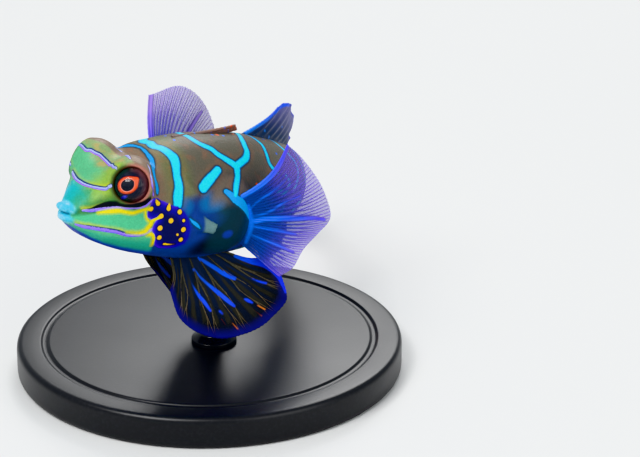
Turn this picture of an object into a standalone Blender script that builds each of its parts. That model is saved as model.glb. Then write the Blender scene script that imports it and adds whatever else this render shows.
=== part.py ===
"""A life-size mandarinfish, head up and tail curled to its right, on a small round stand.

The fish is first modelled straight, in millimetres: x to its own left, s backwards from the
snout and z up from its middle line. bend() then curls it and gives its vertices in metres.
The fish faces -Y, and the origin is the centre of the base's underside.
"""
import math
from dataclasses import dataclass

import bmesh
import bpy
import numpy as np
from mathutils import Matrix, Vector

MM = 0.001
MODEL_NAME = "mandarinfish"

# Gap kept between neighbouring nodes.
GAP = 0.3

# Profiles of the straight body: distance behind the snout, then the value there.
BODY_LENGTH = 55.0
BACK = (
    *((0.8, 0.7), (2.2, 2.5), (5, 5.0), (7, 6.1), (9, 6.3), (10.5, 7.5), (12, 8.0), (18, 8.8), (24, 8.5)),
    *((32, 7.0), (42, 4.6), (50, 3.1), (55, 3.0)),
)
BELLY = (
    *((0.8, -1.3), (2.6, -2.7), (5.3, -3.9), (9, -4.9), (18, -6.0), (25, -5.9)),
    *((32, -5.1), (40, -3.9), (48, -3.1), (55, -3.0)),
)
HALF_WIDTH = (
    *((0.8, 1.3), (2.4, 3.0), (4.2, 5.0), (7, 6.1), (10, 6.8), (14, 7.2), (18, 7.0)),
    *((28, 5.6), (42, 3.1), (49, 2.1), (55, 1.4)),
)
WIDEST_HEIGHT = ((0, -0.5), (3, -0.9), (9, -1.0), (16, -0.7), (26, -0.2), (40, 0.0))
UPPER_ROUNDNESS = ((0, 2.0), (3, 2.9), (6, 2.5), (9, 2.5), (13, 2.1), (20, 2.0))
LOWER_ROUNDNESS = ((0, 2.0), (8, 2.3), (20, 2.5), (35, 2.2), (55, 2.0))
AXIS_HEIGHT = ((0, -1.3), (9, -1.0), (20, 0.2), (55, 0.0))
SNOUT_TIP = 0.9
SNOUT_BLUNTNESS = 0.7

# Eyes: each sits in a dome at the top of the head and looks along its own axis.
DOME_CENTRE = (4.35, 7.0, 4.15)
DOME_RADIUS = 2.75
DOME_BLEND = 1.5
BROW_CENTRE = (3.5, 6.8, 5.3)
BROW_RADIUS = 1.9
BROW_BLEND = 1.8
EYE_RADIUS = 2.2
EYE_FORWARD = 0.55
EYE_AXIS = {"left": (0.66, -0.72, 0.22), "right": (-0.86, -0.42, 0.28)}
LID_TUBE = 0.22
LID_RADIUS = 2.38
LID_FORWARD = 1.46

# Fleshy lobe at the root of each pectoral fin.
LOBE_CENTRE = (6.0, 19.4, 0.1)
LOBE_RADII = (1.9, 2.9, 4.1)
LOBE_BLEND = 0.8

# Lips, mouth line, nostrils, gill slit and the blunt spine on the cheek.
UPPER_LIP = ((0, 0.75, 0.45), (1.2, 0.85, 0.56))
LOWER_LIP = ((0, 1.05, -0.75), (1.1, 0.85, 0.52))
MOUTH_LINE = ((0, 0.35, -0.18), (1.1, 0.9, 0.13))
NOSTRIL_PLACE = (1.75, 2.75, 2.85)
NOSTRIL_RADIUS = 0.36
NOSTRIL_BORE = 0.18
NOSTRIL_HEIGHT = 0.45
NOSTRIL_TAPER = 0.8
GILL_FROM = (5.5, 13.2, 4.8)
GILL_TO = (6.4, 14.4, 3.2)
GILL_HALF_WIDTH = 0.2
GILL_DEPTH = 0.5
SPINE_FROM = (6.85, 14.2, 0.15)
SPINE_TO = (7.8, 16.85, -0.75)
SPINE_RADII = (1.0, 0.64)
SPINE_FLATNESS = 0.4

# Where the body is parted, and the rows and columns of its nodes.
HEAD_CENTRE = 8.0
HEAD_END = 17.7
TAIL_START = 42.0
HEAD_FAN_ROWS = 18
HEAD_BACK_ROWS = 10
HEAD_BACK_CROWDING = 1.25
TRUNK_ROWS = 15
TAIL_ROWS = 9
HEAD_COLUMNS = 44
TRUNK_COLUMNS = 36
TAIL_COLUMNS = 28
SEAM = 0.36

# Curl of the body: distance behind the snout, then the turn to the right or the dip in degrees.
SWING = ((0, 0), (12, 0), (20, 6), (30, 22), (40, 41), (50, 57), (56, 60), (64, 54), (75, 46))
DIP = ((0, 11), (34, 11), (44, 15), (55, 22), (75, 24))
CURL_STEP = 0.25
CURL_FROM = -10.0
CURL_TO = 90.0
# Place of the middle line's point at PIVOT, from the origin under the base.
PIVOT = 15.0
PIVOT_PLACE = (2.5, -8.0, 24.0)

# Stand.
BASE_RADIUS = 24.0
BASE_HEIGHT = 4.0
BASE_ROUNDING = 0.8
BASE_SEGMENTS = 48
ROD_RADIUS = 1.2
ROD_FOOT_RADIUS = 2.8
ROD_FOOT_HEIGHT = 2.4
ROD_NECK_RADIUS = 1.7
ROD_NECK_HEIGHT = 1.1
ROD_FOOT_RIM = 0.6
ROD_STATION = 22.5
ROD_SEGMENTS = 20

# Edges sharper than this, in degrees, stay sharp when shaded.
SHARP_ANGLE = 40


@dataclass(frozen=True)
class FinPlan:
    """One fin: where its rays start and end, and how thick it is, in millimetres."""

    name: str
    roots: tuple
    tips: tuple
    rays: int
    rows: int
    carried_at: float = -1.0
    ray_thickness: tuple = (0.85, 0.5)
    membrane: float = 0.5
    notch: float = 0.035
    bow: tuple = (0.0, 0.0, 0.0)
    sunk: float = 1.2


PECTORAL_ROOTS = ((7.3, 20.2, 2.9), (7.1, 21.5, 1.4), (6.6, 22.5, -0.4), (6.3, 22.8, -1.9), (5.9, 22.7, -3.6))
RIGHT_PECTORAL_ROOTS = ((-7.3, 18.8, 3.4), (-7.2, 20.9, 1.8), (-6.8, 22.0, -0.5), (-6.2, 22.2, -3.2))
PELVIC_ROOTS = ((3.0, 14.4, -5.2), (3.6, 16.6, -5.4), (4.3, 18.8, -5.2), (4.9, 21.2, -4.8))
FINS = (
    FinPlan(
        name="pectoral_fin_left",
        roots=PECTORAL_ROOTS,
        tips=(
            *((9.6, 24.3, 9.7), (10.0, 26.4, 8.2), (10.3, 28.7, 6.1), (10.6, 30.9, 3.4), (10.8, 32.4, 0.4)),
            *((10.9, 30.4, -1.6), (11.0, 28.2, -3.4), (11.0, 27.0, -5.4), (10.8, 25.0, -6.6)),
        ),
        rays=14,
        rows=5,
        carried_at=20.0,
        bow=(0.8, 0.2, -0.4),
    ),
    FinPlan(
        name="pectoral_fin_right",
        roots=RIGHT_PECTORAL_ROOTS,
        tips=(
            *((-12.2, 21.0, 10.4), (-11.0, 24.6, 11.8), (-10.0, 29.2, 9.0)),
            *((-9.8, 31.6, 2.0), (-9.0, 28.8, -4.6)),
        ),
        rays=14,
        rows=5,
        carried_at=20.0,
        bow=(-0.6, 0.0, 0.0),
    ),
    FinPlan(
        name="pelvic_fin_left",
        roots=PELVIC_ROOTS,
        tips=(
            *((4.1, 14.1, -9.3), (5.2, 14.7, -12.0), (6.6, 17.1, -14.1), (7.8, 20.2, -14.8)),
            *((8.5, 23.3, -14.2), (9.0, 26.4, -12.6), (9.0, 28.7, -10.2), (8.4, 28.4, -8.1), (7.4, 27.2, -5.9)),
        ),
        rays=12,
        rows=5,
        carried_at=18.0,
        bow=(0.7, 0.0, -0.4),
    ),
    FinPlan(
        name="pelvic_fin_right",
        roots=tuple((-x, s, z) for x, s, z in PELVIC_ROOTS),
        tips=(
            *((-3.6, 18.6, -9.8), (-4.4, 21.0, -12.4), (-5.0, 23.6, -14.0), (-5.8, 26.6, -14.4)),
            *((-6.6, 29.6, -13.4), (-7.2, 31.8, -11.6), (-7.4, 32.4, -9.6), (-6.9, 31.2, -7.8)),
        ),
        rays=12,
        rows=5,
        carried_at=18.0,
        bow=(-0.5, 0.0, -0.4),
    ),
    FinPlan(
        name="first_dorsal_fin",
        roots=((0, 15.6, 8.5), (0, 22.4, 8.6)),
        tips=((0, 25.1, 9.35), (0, 25.5, 8.78)),
        rays=4,
        rows=6,
        ray_thickness=(1.0, 0.7),
        membrane=0.6,
        sunk=0.9,
    ),
    FinPlan(
        name="second_dorsal_fin",
        roots=((0, 27.0, 8.0), (0, 43.6, 4.2)),
        tips=(
            *((0.1, 36.4, 10.2), (0.4, 38.8, 10.5), (0.7, 41.6, 10.1), (0.9, 44.3, 9.2)),
            *((1.0, 46.3, 7.9), (0.8, 47.4, 6.5), (0.6, 47.0, 5.2)),
        ),
        rays=8,
        rows=6,
    ),
    FinPlan(
        name="anal_fin",
        roots=((0, 30.5, -5.2), (0, 44.5, -3.4)),
        tips=((0, 35.6, -9.4), (0, 42.0, -8.8), (0, 48.8, -6.2)),
        rays=7,
        rows=5,
    ),
    FinPlan(
        name="caudal_fin",
        roots=((0, 55.4, 2.5), (0, 55.4, -2.5)),
        tips=((0, 68.2, 5.6), (0, 70.2, 3.0), (0, 70.8, 0.0), (0, 70.2, -3.0), (0, 68.2, -5.6)),
        rays=10,
        rows=6,
        ray_thickness=(1.1, 0.5),
        sunk=0.0,
        notch=0.03,
    ),
)

# Colour, roughness and metallic value of each kind of surface.
SURFACES = {
    "skin": ((0.10, 0.33, 0.34, 1.0), 0.35, 0.0),
    "fin": ((0.03, 0.10, 0.62, 1.0), 0.4, 0.0),
    "eye": ((0.75, 0.16, 0.04, 1.0), 0.1, 0.0),
    "stand": ((0.03, 0.03, 0.035, 1.0), 0.25, 0.0),
}


def curve(points, at):
    """Smooth profile through (place, value) pairs, without overshoot between them."""
    places = np.array([point[0] for point in points], float)
    values = np.array([point[1] for point in points], float)
    steps = np.diff(places)
    rises = np.diff(values) / steps
    slopes = np.zeros(len(places))
    slopes[0] = rises[0]
    slopes[-1] = rises[-1]
    for i in range(1, len(places) - 1):
        if rises[i - 1] * rises[i] > 0:
            before = 2 * steps[i] + steps[i - 1]
            after = steps[i] + 2 * steps[i - 1]
            slopes[i] = (before + after) / (before / rises[i - 1] + after / rises[i])
    at = np.clip(at, places[0], places[-1])
    i = np.clip(np.searchsorted(places, at, side="right") - 1, 0, len(steps) - 1)
    t = (at - places[i]) / steps[i]
    start = (1 + 2 * t) * (1 - t) ** 2 * values[i] + t * (1 - t) ** 2 * steps[i] * slopes[i]
    end = t * t * (3 - 2 * t) * values[i + 1] + t * t * (t - 1) * steps[i] * slopes[i + 1]
    return start + end


def blend(first, second, width):
    """Smaller of two distances, rounded where they meet."""
    share = np.clip(0.5 + 0.5 * (second - first) / width, 0, 1)
    return second * (1 - share) + first * share - width * share * (1 - share)


def body_distance(points):
    """Rough distance of straight points from the skin, negative inside the body."""
    x = points[..., 0]
    s = points[..., 1]
    z = points[..., 2]
    middle = curve(WIDEST_HEIGHT, s)
    above = z > middle
    height = np.where(above, curve(BACK, s) - middle, middle - curve(BELLY, s))
    power = np.where(above, curve(UPPER_ROUNDNESS, s), curve(LOWER_ROUNDNESS, s))
    width = curve(HALF_WIDTH, s)
    ratio = (np.abs(x / width) ** power + np.abs((z - middle) / height) ** power) ** (1 / power)
    distance = (ratio - 1) * np.minimum(width, height)
    distance = np.maximum(distance, (SNOUT_TIP - s) * SNOUT_BLUNTNESS)
    for side in (1, -1):
        mirror = np.array([side, 1, 1])
        dome = np.linalg.norm(points - np.array(DOME_CENTRE) * mirror, axis=-1) - DOME_RADIUS
        distance = blend(distance, dome, DOME_BLEND)
        brow = np.linalg.norm(points - np.array(BROW_CENTRE) * mirror, axis=-1) - BROW_RADIUS
        distance = blend(distance, brow, BROW_BLEND)
        lobe = np.linalg.norm((points - np.array(LOBE_CENTRE) * mirror) / np.array(LOBE_RADII), axis=-1)
        distance = blend(distance, (lobe - 1) * min(LOBE_RADII), LOBE_BLEND)
    return distance


def outward(points):
    """Unit normals of the body's distance at straight points."""
    step = 0.02
    normals = np.zeros(points.shape)
    for axis in range(3):
        shift = np.zeros(3)
        shift[axis] = step
        normals[..., axis] = body_distance(points + shift) - body_distance(points - shift)
    return normals / np.linalg.norm(normals, axis=-1, keepdims=True)


def on_skin(place):
    """Point of the skin nearest to a straight place, with its outward normal."""
    rounds = 20
    stride = 0.7
    point = np.array(place, float)
    for _ in range(rounds):
        point = point - stride * body_distance(point) * outward(point)
    return point, outward(point)


def skin_points(centres, tilts, columns, grow=0.0):
    """Rings of skin points, seen from the body's axis.

    A tilt of 0 looks forwards from its centre, and one of 90 degrees looks square to the axis.
    """
    far = 14.0
    samples = 140
    halvings = 14
    turns = np.linspace(0, 2 * math.pi, columns, endpoint=False)
    tilt = np.radians(np.array(tilts))[:, None]
    turn = turns[None, :]
    forwards = -np.cos(tilt) * np.ones_like(turn)
    direction = np.stack([np.sin(tilt) * np.sin(turn), forwards, np.sin(tilt) * np.cos(turn)], axis=-1)
    centre = np.zeros(direction.shape)
    centre[..., 1] = np.array(centres)[:, None]
    centre[..., 2] = curve(AXIS_HEIGHT, centre[..., 1])
    step = far / samples
    near = np.zeros(direction.shape[:2])
    for reach in np.arange(step, far, step):
        inside = body_distance(centre + direction * reach) < 0
        near = np.where(inside, reach, near)
    beyond = near + step
    for _ in range(halvings):
        half = (near + beyond) / 2
        inside = body_distance(centre + direction * half[..., None]) < 0
        near = np.where(inside, half, near)
        beyond = np.where(inside, beyond, half)
    points = centre + direction * near[..., None]
    if grow:
        points = points + outward(points) * grow
    return points


def curl_frames(at):
    """Directions backwards, left and up of the curled body at stations along it."""
    swing = np.radians(curve(SWING, at))
    dip = np.radians(curve(DIP, at))
    back = np.stack([-np.sin(swing) * np.cos(dip), np.cos(swing) * np.cos(dip), -np.sin(dip)], axis=-1)
    left = np.stack([np.cos(swing), np.sin(swing), np.zeros_like(swing)], axis=-1)
    up = np.stack([-np.sin(swing) * np.sin(dip), np.cos(swing) * np.sin(dip), np.cos(dip)], axis=-1)
    return back, left, up


def bend(points, carried_at=None):
    """World places in metres of straight points.

    With carried_at, the points keep their shape and are carried by the body's frame there.
    """
    stations = np.arange(CURL_FROM, CURL_TO, CURL_STEP)
    travel = np.cumsum(curl_frames(stations + CURL_STEP / 2)[0] * CURL_STEP, axis=0)
    line = np.vstack([np.zeros(3), travel[:-1]])
    pivot = np.array([np.interp(PIVOT, stations, line[:, axis]) for axis in range(3)])
    line = line - pivot + np.array(PIVOT_PLACE)
    s = points[..., 1]
    station = s if carried_at is None else np.full_like(s, carried_at)
    centre = np.stack([np.interp(station, stations, line[:, axis]) for axis in range(3)], axis=-1)
    back, left, up = curl_frames(station)
    places = centre + (s - station)[..., None] * back + points[..., :1] * left + points[..., 2:] * up
    return places * MM


def bend_object(obj, carried_at=None):
    """Curls a straight object's vertices into their world places."""
    points = np.empty(len(obj.data.vertices) * 3)
    obj.data.vertices.foreach_get("co", points)
    places = bend(points.reshape(-1, 3), carried_at)
    obj.data.vertices.foreach_set("co", places.ravel())
    obj.data.update()


def add_object(name, shape, collection):
    """New object from a bmesh, which is freed."""
    mesh = bpy.data.meshes.new(name)
    shape.to_mesh(mesh)
    shape.free()
    obj = bpy.data.objects.new(name, mesh)
    collection.objects.link(obj)
    return obj


def apply_modifiers(obj):
    """Replaces an object's mesh with its evaluated one."""
    bpy.context.view_layer.update()
    graph = bpy.context.evaluated_depsgraph_get()
    mesh = bpy.data.meshes.new_from_object(obj.evaluated_get(graph))
    obj.modifiers.clear()
    old = obj.data
    obj.data = mesh
    bpy.data.meshes.remove(old)


def clear_objects(collection):
    """Removes every object in a collection."""
    for obj in list(collection.objects):
        bpy.data.objects.remove(obj, do_unlink=True)


def combine(target, operation, tools):
    """Joins or cuts the target with every object in the tools collection, then removes them."""
    for obj in tools.objects:
        obj.hide_render = True
        obj.display_type = "WIRE"
    modifier = target.modifiers.new("combine", "BOOLEAN")
    modifier.operation = operation
    modifier.operand_type = "COLLECTION"
    modifier.collection = tools
    modifier.solver = "EXACT"
    apply_modifiers(target)
    clear_objects(tools)


def keep_largest(obj):
    """Leaves only the largest closed surface of a mesh, split into triangles."""
    shape = bmesh.new()
    shape.from_mesh(obj.data)
    bmesh.ops.triangulate(shape, faces=shape.faces[:])
    shells = []
    left = set(shape.faces)
    while left:
        shell = set()
        waiting = [left.pop()]
        while waiting:
            face = waiting.pop()
            shell.add(face)
            for edge in face.edges:
                for other in edge.link_faces:
                    if other in left:
                        left.remove(other)
                        waiting.append(other)
        volume = sum(f.verts[0].co.dot(f.verts[1].co.cross(f.verts[2].co)) for f in shell)
        shells.append((abs(volume), shell))
    largest = max(shells, key=lambda item: item[0])[1]
    bmesh.ops.delete(shape, geom=[f for f in shape.faces if f not in largest], context="FACES")
    bmesh.ops.recalc_face_normals(shape, faces=shape.faces[:])
    shape.to_mesh(obj.data)
    shape.free()


def toward(direction):
    """Rotation that turns +Z to a direction."""
    return Vector(direction).to_track_quat("Z", "Y").to_matrix().to_4x4()


def add_ellipsoid(name, centre, radii, collection, turn=None, segments=20, rings=12):
    """Closed ellipsoid in straight coordinates."""
    shape = bmesh.new()
    bmesh.ops.create_uvsphere(shape, u_segments=segments, v_segments=rings, radius=1.0)
    matrix = Matrix.Translation(centre)
    if turn is not None:
        matrix = matrix @ turn
    matrix = matrix @ Matrix.Diagonal((*radii, 1.0))
    bmesh.ops.transform(shape, matrix=matrix, verts=shape.verts)
    return add_object(name, shape, collection)


def add_cone(name, start, end, radii, collection, flatness=1.0, segments=12):
    """Closed cone or cylinder between two straight points, flattened along its own X."""
    shape = bmesh.new()
    axis = Vector(end) - Vector(start)
    bmesh.ops.create_cone(
        shape,
        cap_ends=True,
        segments=segments,
        radius1=radii[0],
        radius2=radii[1],
        depth=axis.length,
    )
    middle = (Vector(start) + Vector(end)) / 2
    matrix = Matrix.Translation(middle) @ toward(axis) @ Matrix.Diagonal((flatness, 1.0, 1.0, 1.0))
    bmesh.ops.transform(shape, matrix=matrix, verts=shape.verts)
    return add_object(name, shape, collection)


def add_ring(name, centre, axis, radius, tube, collection):
    """Torus about an axis in straight coordinates."""
    bpy.ops.mesh.primitive_torus_add(
        major_radius=radius,
        minor_radius=tube,
        major_segments=24,
        minor_segments=6,
    )
    obj = bpy.context.object
    obj.name = name
    obj.data.transform(Matrix.Translation(centre) @ toward(axis))
    for owner in list(obj.users_collection):
        owner.objects.unlink(obj)
    collection.objects.link(obj)
    return obj


def add_loft(name, centres, tilts, columns, collection, grow=0.0):
    """Closed length of the body between its first and last ring of skin points."""
    rings = skin_points(centres, tilts, columns, grow)
    shape = bmesh.new()
    loops = [[shape.verts.new(point) for point in ring] for ring in rings]
    for front, back in zip(loops, loops[1:]):
        for i in range(columns):
            k = (i + 1) % columns
            shape.faces.new((front[i], back[i], back[k], front[k]))
    if tilts[0] < 90:
        start = skin_points([centres[0]], [0.0], 1, grow)[0, 0]
    else:
        start = rings[0].mean(axis=0)
    first = shape.verts.new(start)
    last = shape.verts.new(rings[-1].mean(axis=0))
    for i in range(columns):
        k = (i + 1) % columns
        shape.faces.new((first, loops[0][i], loops[0][k]))
        shape.faces.new((last, loops[-1][k], loops[-1][i]))
    bmesh.ops.triangulate(shape, faces=shape.faces[:])
    bmesh.ops.recalc_face_normals(shape, faces=shape.faces[:])
    return add_object(name, shape, collection)


def head_rows():
    """Centres and tilts of the head's rings: a fan from its centre, then square rings."""
    fan = np.linspace(0, 90, HEAD_FAN_ROWS + 1)[1:]
    shares = np.linspace(0, 1, HEAD_BACK_ROWS + 1)[1:] ** HEAD_BACK_CROWDING
    behind = HEAD_CENTRE + (HEAD_END - HEAD_CENTRE) * shares
    centres = np.concatenate([np.full(HEAD_FAN_ROWS, HEAD_CENTRE), behind])
    tilts = np.concatenate([fan, np.full(HEAD_BACK_ROWS, 90.0)])
    return centres, tilts


def make_head(parts, tools):
    """Head with eye sockets, lids, lips, mouth line, nostrils, gill slits and cheek spines."""
    centres, tilts = head_rows()
    head = add_loft("head", centres, tilts, HEAD_COLUMNS, parts)
    for side, sign in (("left", 1), ("right", -1)):
        mirror = Vector((sign, 1, 1))
        dome = Vector(DOME_CENTRE) * mirror
        axis = Vector(EYE_AXIS[side]).normalized()
        add_ring("lid", dome + axis * LID_FORWARD, axis, LID_RADIUS, LID_TUBE, tools)
        spine_from = Vector(SPINE_FROM) * mirror
        spine_to = Vector(SPINE_TO) * mirror
        add_cone("spine", spine_from, spine_to, SPINE_RADII, tools, flatness=SPINE_FLATNESS)
        point, normal = on_skin(Vector(NOSTRIL_PLACE) * mirror)
        foot = Vector(point - normal * NOSTRIL_HEIGHT)
        top = Vector(point + normal * NOSTRIL_HEIGHT)
        radii = (NOSTRIL_RADIUS, NOSTRIL_RADIUS * NOSTRIL_TAPER)
        add_cone("nostril", foot, top, radii, tools, segments=10)
    add_ellipsoid("upper_lip", *UPPER_LIP, tools, segments=16, rings=10)
    add_ellipsoid("lower_lip", *LOWER_LIP, tools, segments=16, rings=10)
    combine(head, "UNION", tools)
    for side, sign in (("left", 1), ("right", -1)):
        mirror = Vector((sign, 1, 1))
        centre = eye_centre(side, sign)
        socket = EYE_RADIUS + GAP
        add_ellipsoid("socket", centre, (socket, socket, socket), tools, segments=24, rings=14)
        point, normal = on_skin(Vector(NOSTRIL_PLACE) * mirror)
        radii = (NOSTRIL_BORE, NOSTRIL_BORE)
        add_cone("bore", Vector(point), Vector(point + normal), radii, tools, segments=8)
        slit_from = Vector(GILL_FROM) * mirror
        slit_to = Vector(GILL_TO) * mirror
        length = (slit_to - slit_from).length / 2
        turn = toward(slit_to - slit_from)
        middle = (slit_from + slit_to) / 2
        radii = (GILL_HALF_WIDTH, GILL_DEPTH, length)
        add_ellipsoid("gill", middle, radii, tools, turn, segments=12, rings=8)
    add_ellipsoid("mouth", *MOUTH_LINE, tools, segments=16, rings=6)
    combine(head, "DIFFERENCE", tools)
    keep_largest(head)
    return head


def eye_centre(side, sign):
    """Centre of an eyeball in straight coordinates."""
    dome = Vector(DOME_CENTRE) * Vector((sign, 1, 1))
    return dome + Vector(EYE_AXIS[side]).normalized() * EYE_FORWARD


def make_eyes(parts):
    """Both eyeballs, each turned so that its poles lie on the axis that it looks along."""
    eyes = []
    for side, sign in (("left", 1), ("right", -1)):
        turn = toward(EYE_AXIS[side])
        radii = (EYE_RADIUS, EYE_RADIUS, EYE_RADIUS)
        eyes.append(add_ellipsoid(f"eye_{side}", eye_centre(side, sign), radii, parts, turn, 22, 12))
    return eyes


def make_trunk(parts):
    """Trunk from the gills to the thin stalk of the tail."""
    centres = np.linspace(HEAD_END + SEAM, TAIL_START, TRUNK_ROWS)
    return add_loft("trunk", centres, np.full(TRUNK_ROWS, 90.0), TRUNK_COLUMNS, parts)


def make_tail(parts):
    """Stalk of the tail, up to the root of the tail fin."""
    centres = np.linspace(TAIL_START + SEAM, BODY_LENGTH - SEAM, TAIL_ROWS)
    return add_loft("tail", centres, np.full(TAIL_ROWS, 90.0), TAIL_COLUMNS, parts)


def make_clearance(tools):
    """Whole body grown by the gap: what fins and rod are cut with."""
    centres, tilts = head_rows()
    behind = np.linspace(HEAD_END, BODY_LENGTH, TRUNK_ROWS + TAIL_ROWS)[1:]
    centres = np.concatenate([centres, behind])
    tilts = np.concatenate([tilts, np.full(len(behind), 90.0)])
    return add_loft("clearance", centres, tilts, TRUNK_COLUMNS, tools, grow=GAP)


def along(points, share):
    """Smooth place along a list of control points, for shares from 0 to 1."""
    shares = np.linspace(0, 1, len(points))
    return np.array([curve(list(zip(shares, axis)), share) for axis in zip(*points)])


def make_fin(plan, parts, tools):
    """Thin membrane with its rays raised on both faces, cut clear of the body."""
    columns = 2 * (plan.rays - 1)
    bpy.ops.mesh.primitive_grid_add(x_subdivisions=columns, y_subdivisions=plan.rows, size=1.0)
    fin = bpy.context.object
    fin.name = plan.name
    for owner in list(fin.users_collection):
        owner.objects.unlink(fin)
    parts.objects.link(fin)
    group = fin.vertex_groups.new(name="thickness")
    thickest = max(plan.ray_thickness)
    for vertex in fin.data.vertices:
        across = vertex.co.x + 0.5
        out = vertex.co.y + 0.5
        is_ray = round(across * columns) % 2 == 0
        root = along(plan.roots, across)
        tip = along(plan.tips, across)
        start = -plan.sunk / np.linalg.norm(tip - root)
        end = 1.0 if is_ray else 1.0 - plan.notch
        reach = start + (end - start) * out
        swell = math.sin(math.pi * min(max(reach, 0.0), 1.0))
        vertex.co = root + (tip - root) * reach + np.array(plan.bow) * swell
        ray = plan.ray_thickness[0] + (plan.ray_thickness[1] - plan.ray_thickness[0]) * out
        thickness = ray if is_ray else min(plan.membrane, ray)
        group.add([vertex.index], thickness / thickest, "REPLACE")
    shape = bmesh.new()
    shape.from_mesh(fin.data)
    bmesh.ops.triangulate(shape, faces=shape.faces[:])
    shape.to_mesh(fin.data)
    shape.free()
    solidify = fin.modifiers.new("thickness", "SOLIDIFY")
    solidify.thickness = thickest
    solidify.offset = 0.0
    solidify.vertex_group = group.name
    apply_modifiers(fin)
    if plan.sunk > 0:
        make_clearance(tools)
        combine(fin, "DIFFERENCE", tools)
    keep_largest(fin)
    return fin


def make_stand(parts, tools):
    """Round base, and a rod from it up to the belly."""
    bpy.ops.mesh.primitive_cylinder_add(
        vertices=BASE_SEGMENTS,
        radius=BASE_RADIUS * MM,
        depth=BASE_HEIGHT * MM,
        location=(0, 0, BASE_HEIGHT * MM / 2),
    )
    base = bpy.context.object
    base.name = "stand_base"
    rounding = base.modifiers.new("rounding", "BEVEL")
    rounding.width = BASE_ROUNDING * MM
    rounding.segments = 2
    rounding.limit_method = "ANGLE"
    foot = bend(np.array([[0.0, ROD_STATION, 0.0]]))[0]
    top = foot[2] - BASE_HEIGHT * MM - GAP * MM
    profile = (
        (0.0, top),
        (ROD_RADIUS * MM, top),
        (ROD_RADIUS * MM, ROD_FOOT_HEIGHT * MM),
        (ROD_NECK_RADIUS * MM, ROD_NECK_HEIGHT * MM),
        (ROD_FOOT_RADIUS * MM, ROD_FOOT_RIM * MM),
        (ROD_FOOT_RADIUS * MM, 0.0),
        (0.0, 0.0),
    )
    mesh = bpy.data.meshes.new("stand_rod")
    edges = [(i, i + 1) for i in range(len(profile) - 1)]
    mesh.from_pydata([(radius, 0.0, height) for radius, height in profile], edges, [])
    rod = bpy.data.objects.new("stand_rod", mesh)
    parts.objects.link(rod)
    turning = rod.modifiers.new("turning", "SCREW")
    turning.steps = ROD_SEGMENTS
    turning.render_steps = ROD_SEGMENTS
    turning.use_merge_vertices = True
    turning.merge_threshold = 0.00001
    apply_modifiers(rod)
    rod.data.transform(Matrix.Translation((foot[0], foot[1], (BASE_HEIGHT + GAP) * MM)))
    bend_object(make_clearance(tools))
    combine(rod, "DIFFERENCE", tools)
    keep_largest(rod)
    for owner in list(base.users_collection):
        owner.objects.unlink(base)
    parts.objects.link(base)
    return [base, rod]


def add_material(obj, kind):
    """Gives an object its own material, shaded smooth but for its sharp edges."""
    colour, roughness, metallic = SURFACES[kind]
    material = bpy.data.materials.new(obj.name)
    material.use_nodes = True
    shader = material.node_tree.nodes["Principled BSDF"]
    shader.inputs["Base Color"].default_value = colour
    shader.inputs["Roughness"].default_value = roughness
    shader.inputs["Metallic"].default_value = metallic
    obj.data.materials.clear()
    obj.data.materials.append(material)
    obj.data.shade_smooth()
    obj.data.set_sharp_from_angle(angle=math.radians(SHARP_ANGLE))


def main():
    """Builds the fish straight, curls it, and sets it on its stand."""
    for obj in list(bpy.data.objects):
        bpy.data.objects.remove(obj, do_unlink=True)
    parts = bpy.data.collections.new(MODEL_NAME)
    tools = bpy.data.collections.new("cutters")
    bpy.context.scene.collection.children.link(parts)
    bpy.context.scene.collection.children.link(tools)
    flesh = [make_head(parts, tools), make_trunk(parts), make_tail(parts)]
    eyes = make_eyes(parts)
    fins = [make_fin(plan, parts, tools) for plan in FINS]
    for obj in flesh + eyes:
        bend_object(obj)
    for obj, plan in zip(fins, FINS):
        bend_object(obj, plan.carried_at if plan.carried_at > 0 else None)
    stand = make_stand(parts, tools)
    for kind, group in (("skin", flesh), ("eye", eyes), ("fin", fins), ("stand", stand)):
        for obj in group:
            add_material(obj, kind)


main()
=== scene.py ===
"""Looks of a life-size mandarinfish model that swims, curled to its right, over a round stand.

The fish is shaped straight, in millimetres: x to its own left, s backwards from the snout and z
up from its middle line. A mark on the skin is a path of turns about that line and stations along
it, kept as a distance in millimetres that the finish reads. Curl carries every soft piece from
the straight fish to its place in the frame, in metres.
"""
import logging
import math
from collections.abc import Sequence
from dataclasses import dataclass
from enum import Enum

import bpy
import numpy as np
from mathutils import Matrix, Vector


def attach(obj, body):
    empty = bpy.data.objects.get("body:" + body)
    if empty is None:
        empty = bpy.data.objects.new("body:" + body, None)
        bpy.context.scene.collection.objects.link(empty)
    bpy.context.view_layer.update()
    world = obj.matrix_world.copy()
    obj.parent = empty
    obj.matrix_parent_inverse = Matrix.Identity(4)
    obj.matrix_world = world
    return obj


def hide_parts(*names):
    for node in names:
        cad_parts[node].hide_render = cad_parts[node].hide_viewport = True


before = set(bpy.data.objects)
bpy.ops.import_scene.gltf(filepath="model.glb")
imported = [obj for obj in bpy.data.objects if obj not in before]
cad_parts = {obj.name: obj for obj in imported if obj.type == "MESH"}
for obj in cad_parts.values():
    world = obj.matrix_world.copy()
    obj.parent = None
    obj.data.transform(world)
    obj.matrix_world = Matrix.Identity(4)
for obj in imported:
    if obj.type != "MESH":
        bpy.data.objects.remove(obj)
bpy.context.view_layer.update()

MM = 0.001
BODY = "root"
LOG = logging.getLogger("mandarinfish")
TINY = 1e-9
FAR_OFF = 9.0

Array = np.ndarray
Colour = tuple[float, float, float]
Triple = tuple[float, float, float]
Profile = tuple[tuple[float, float], ...]
Path = tuple[Triple, ...]
Input = "float | Colour | Value"
Layer = tuple[Input, Input]


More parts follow.
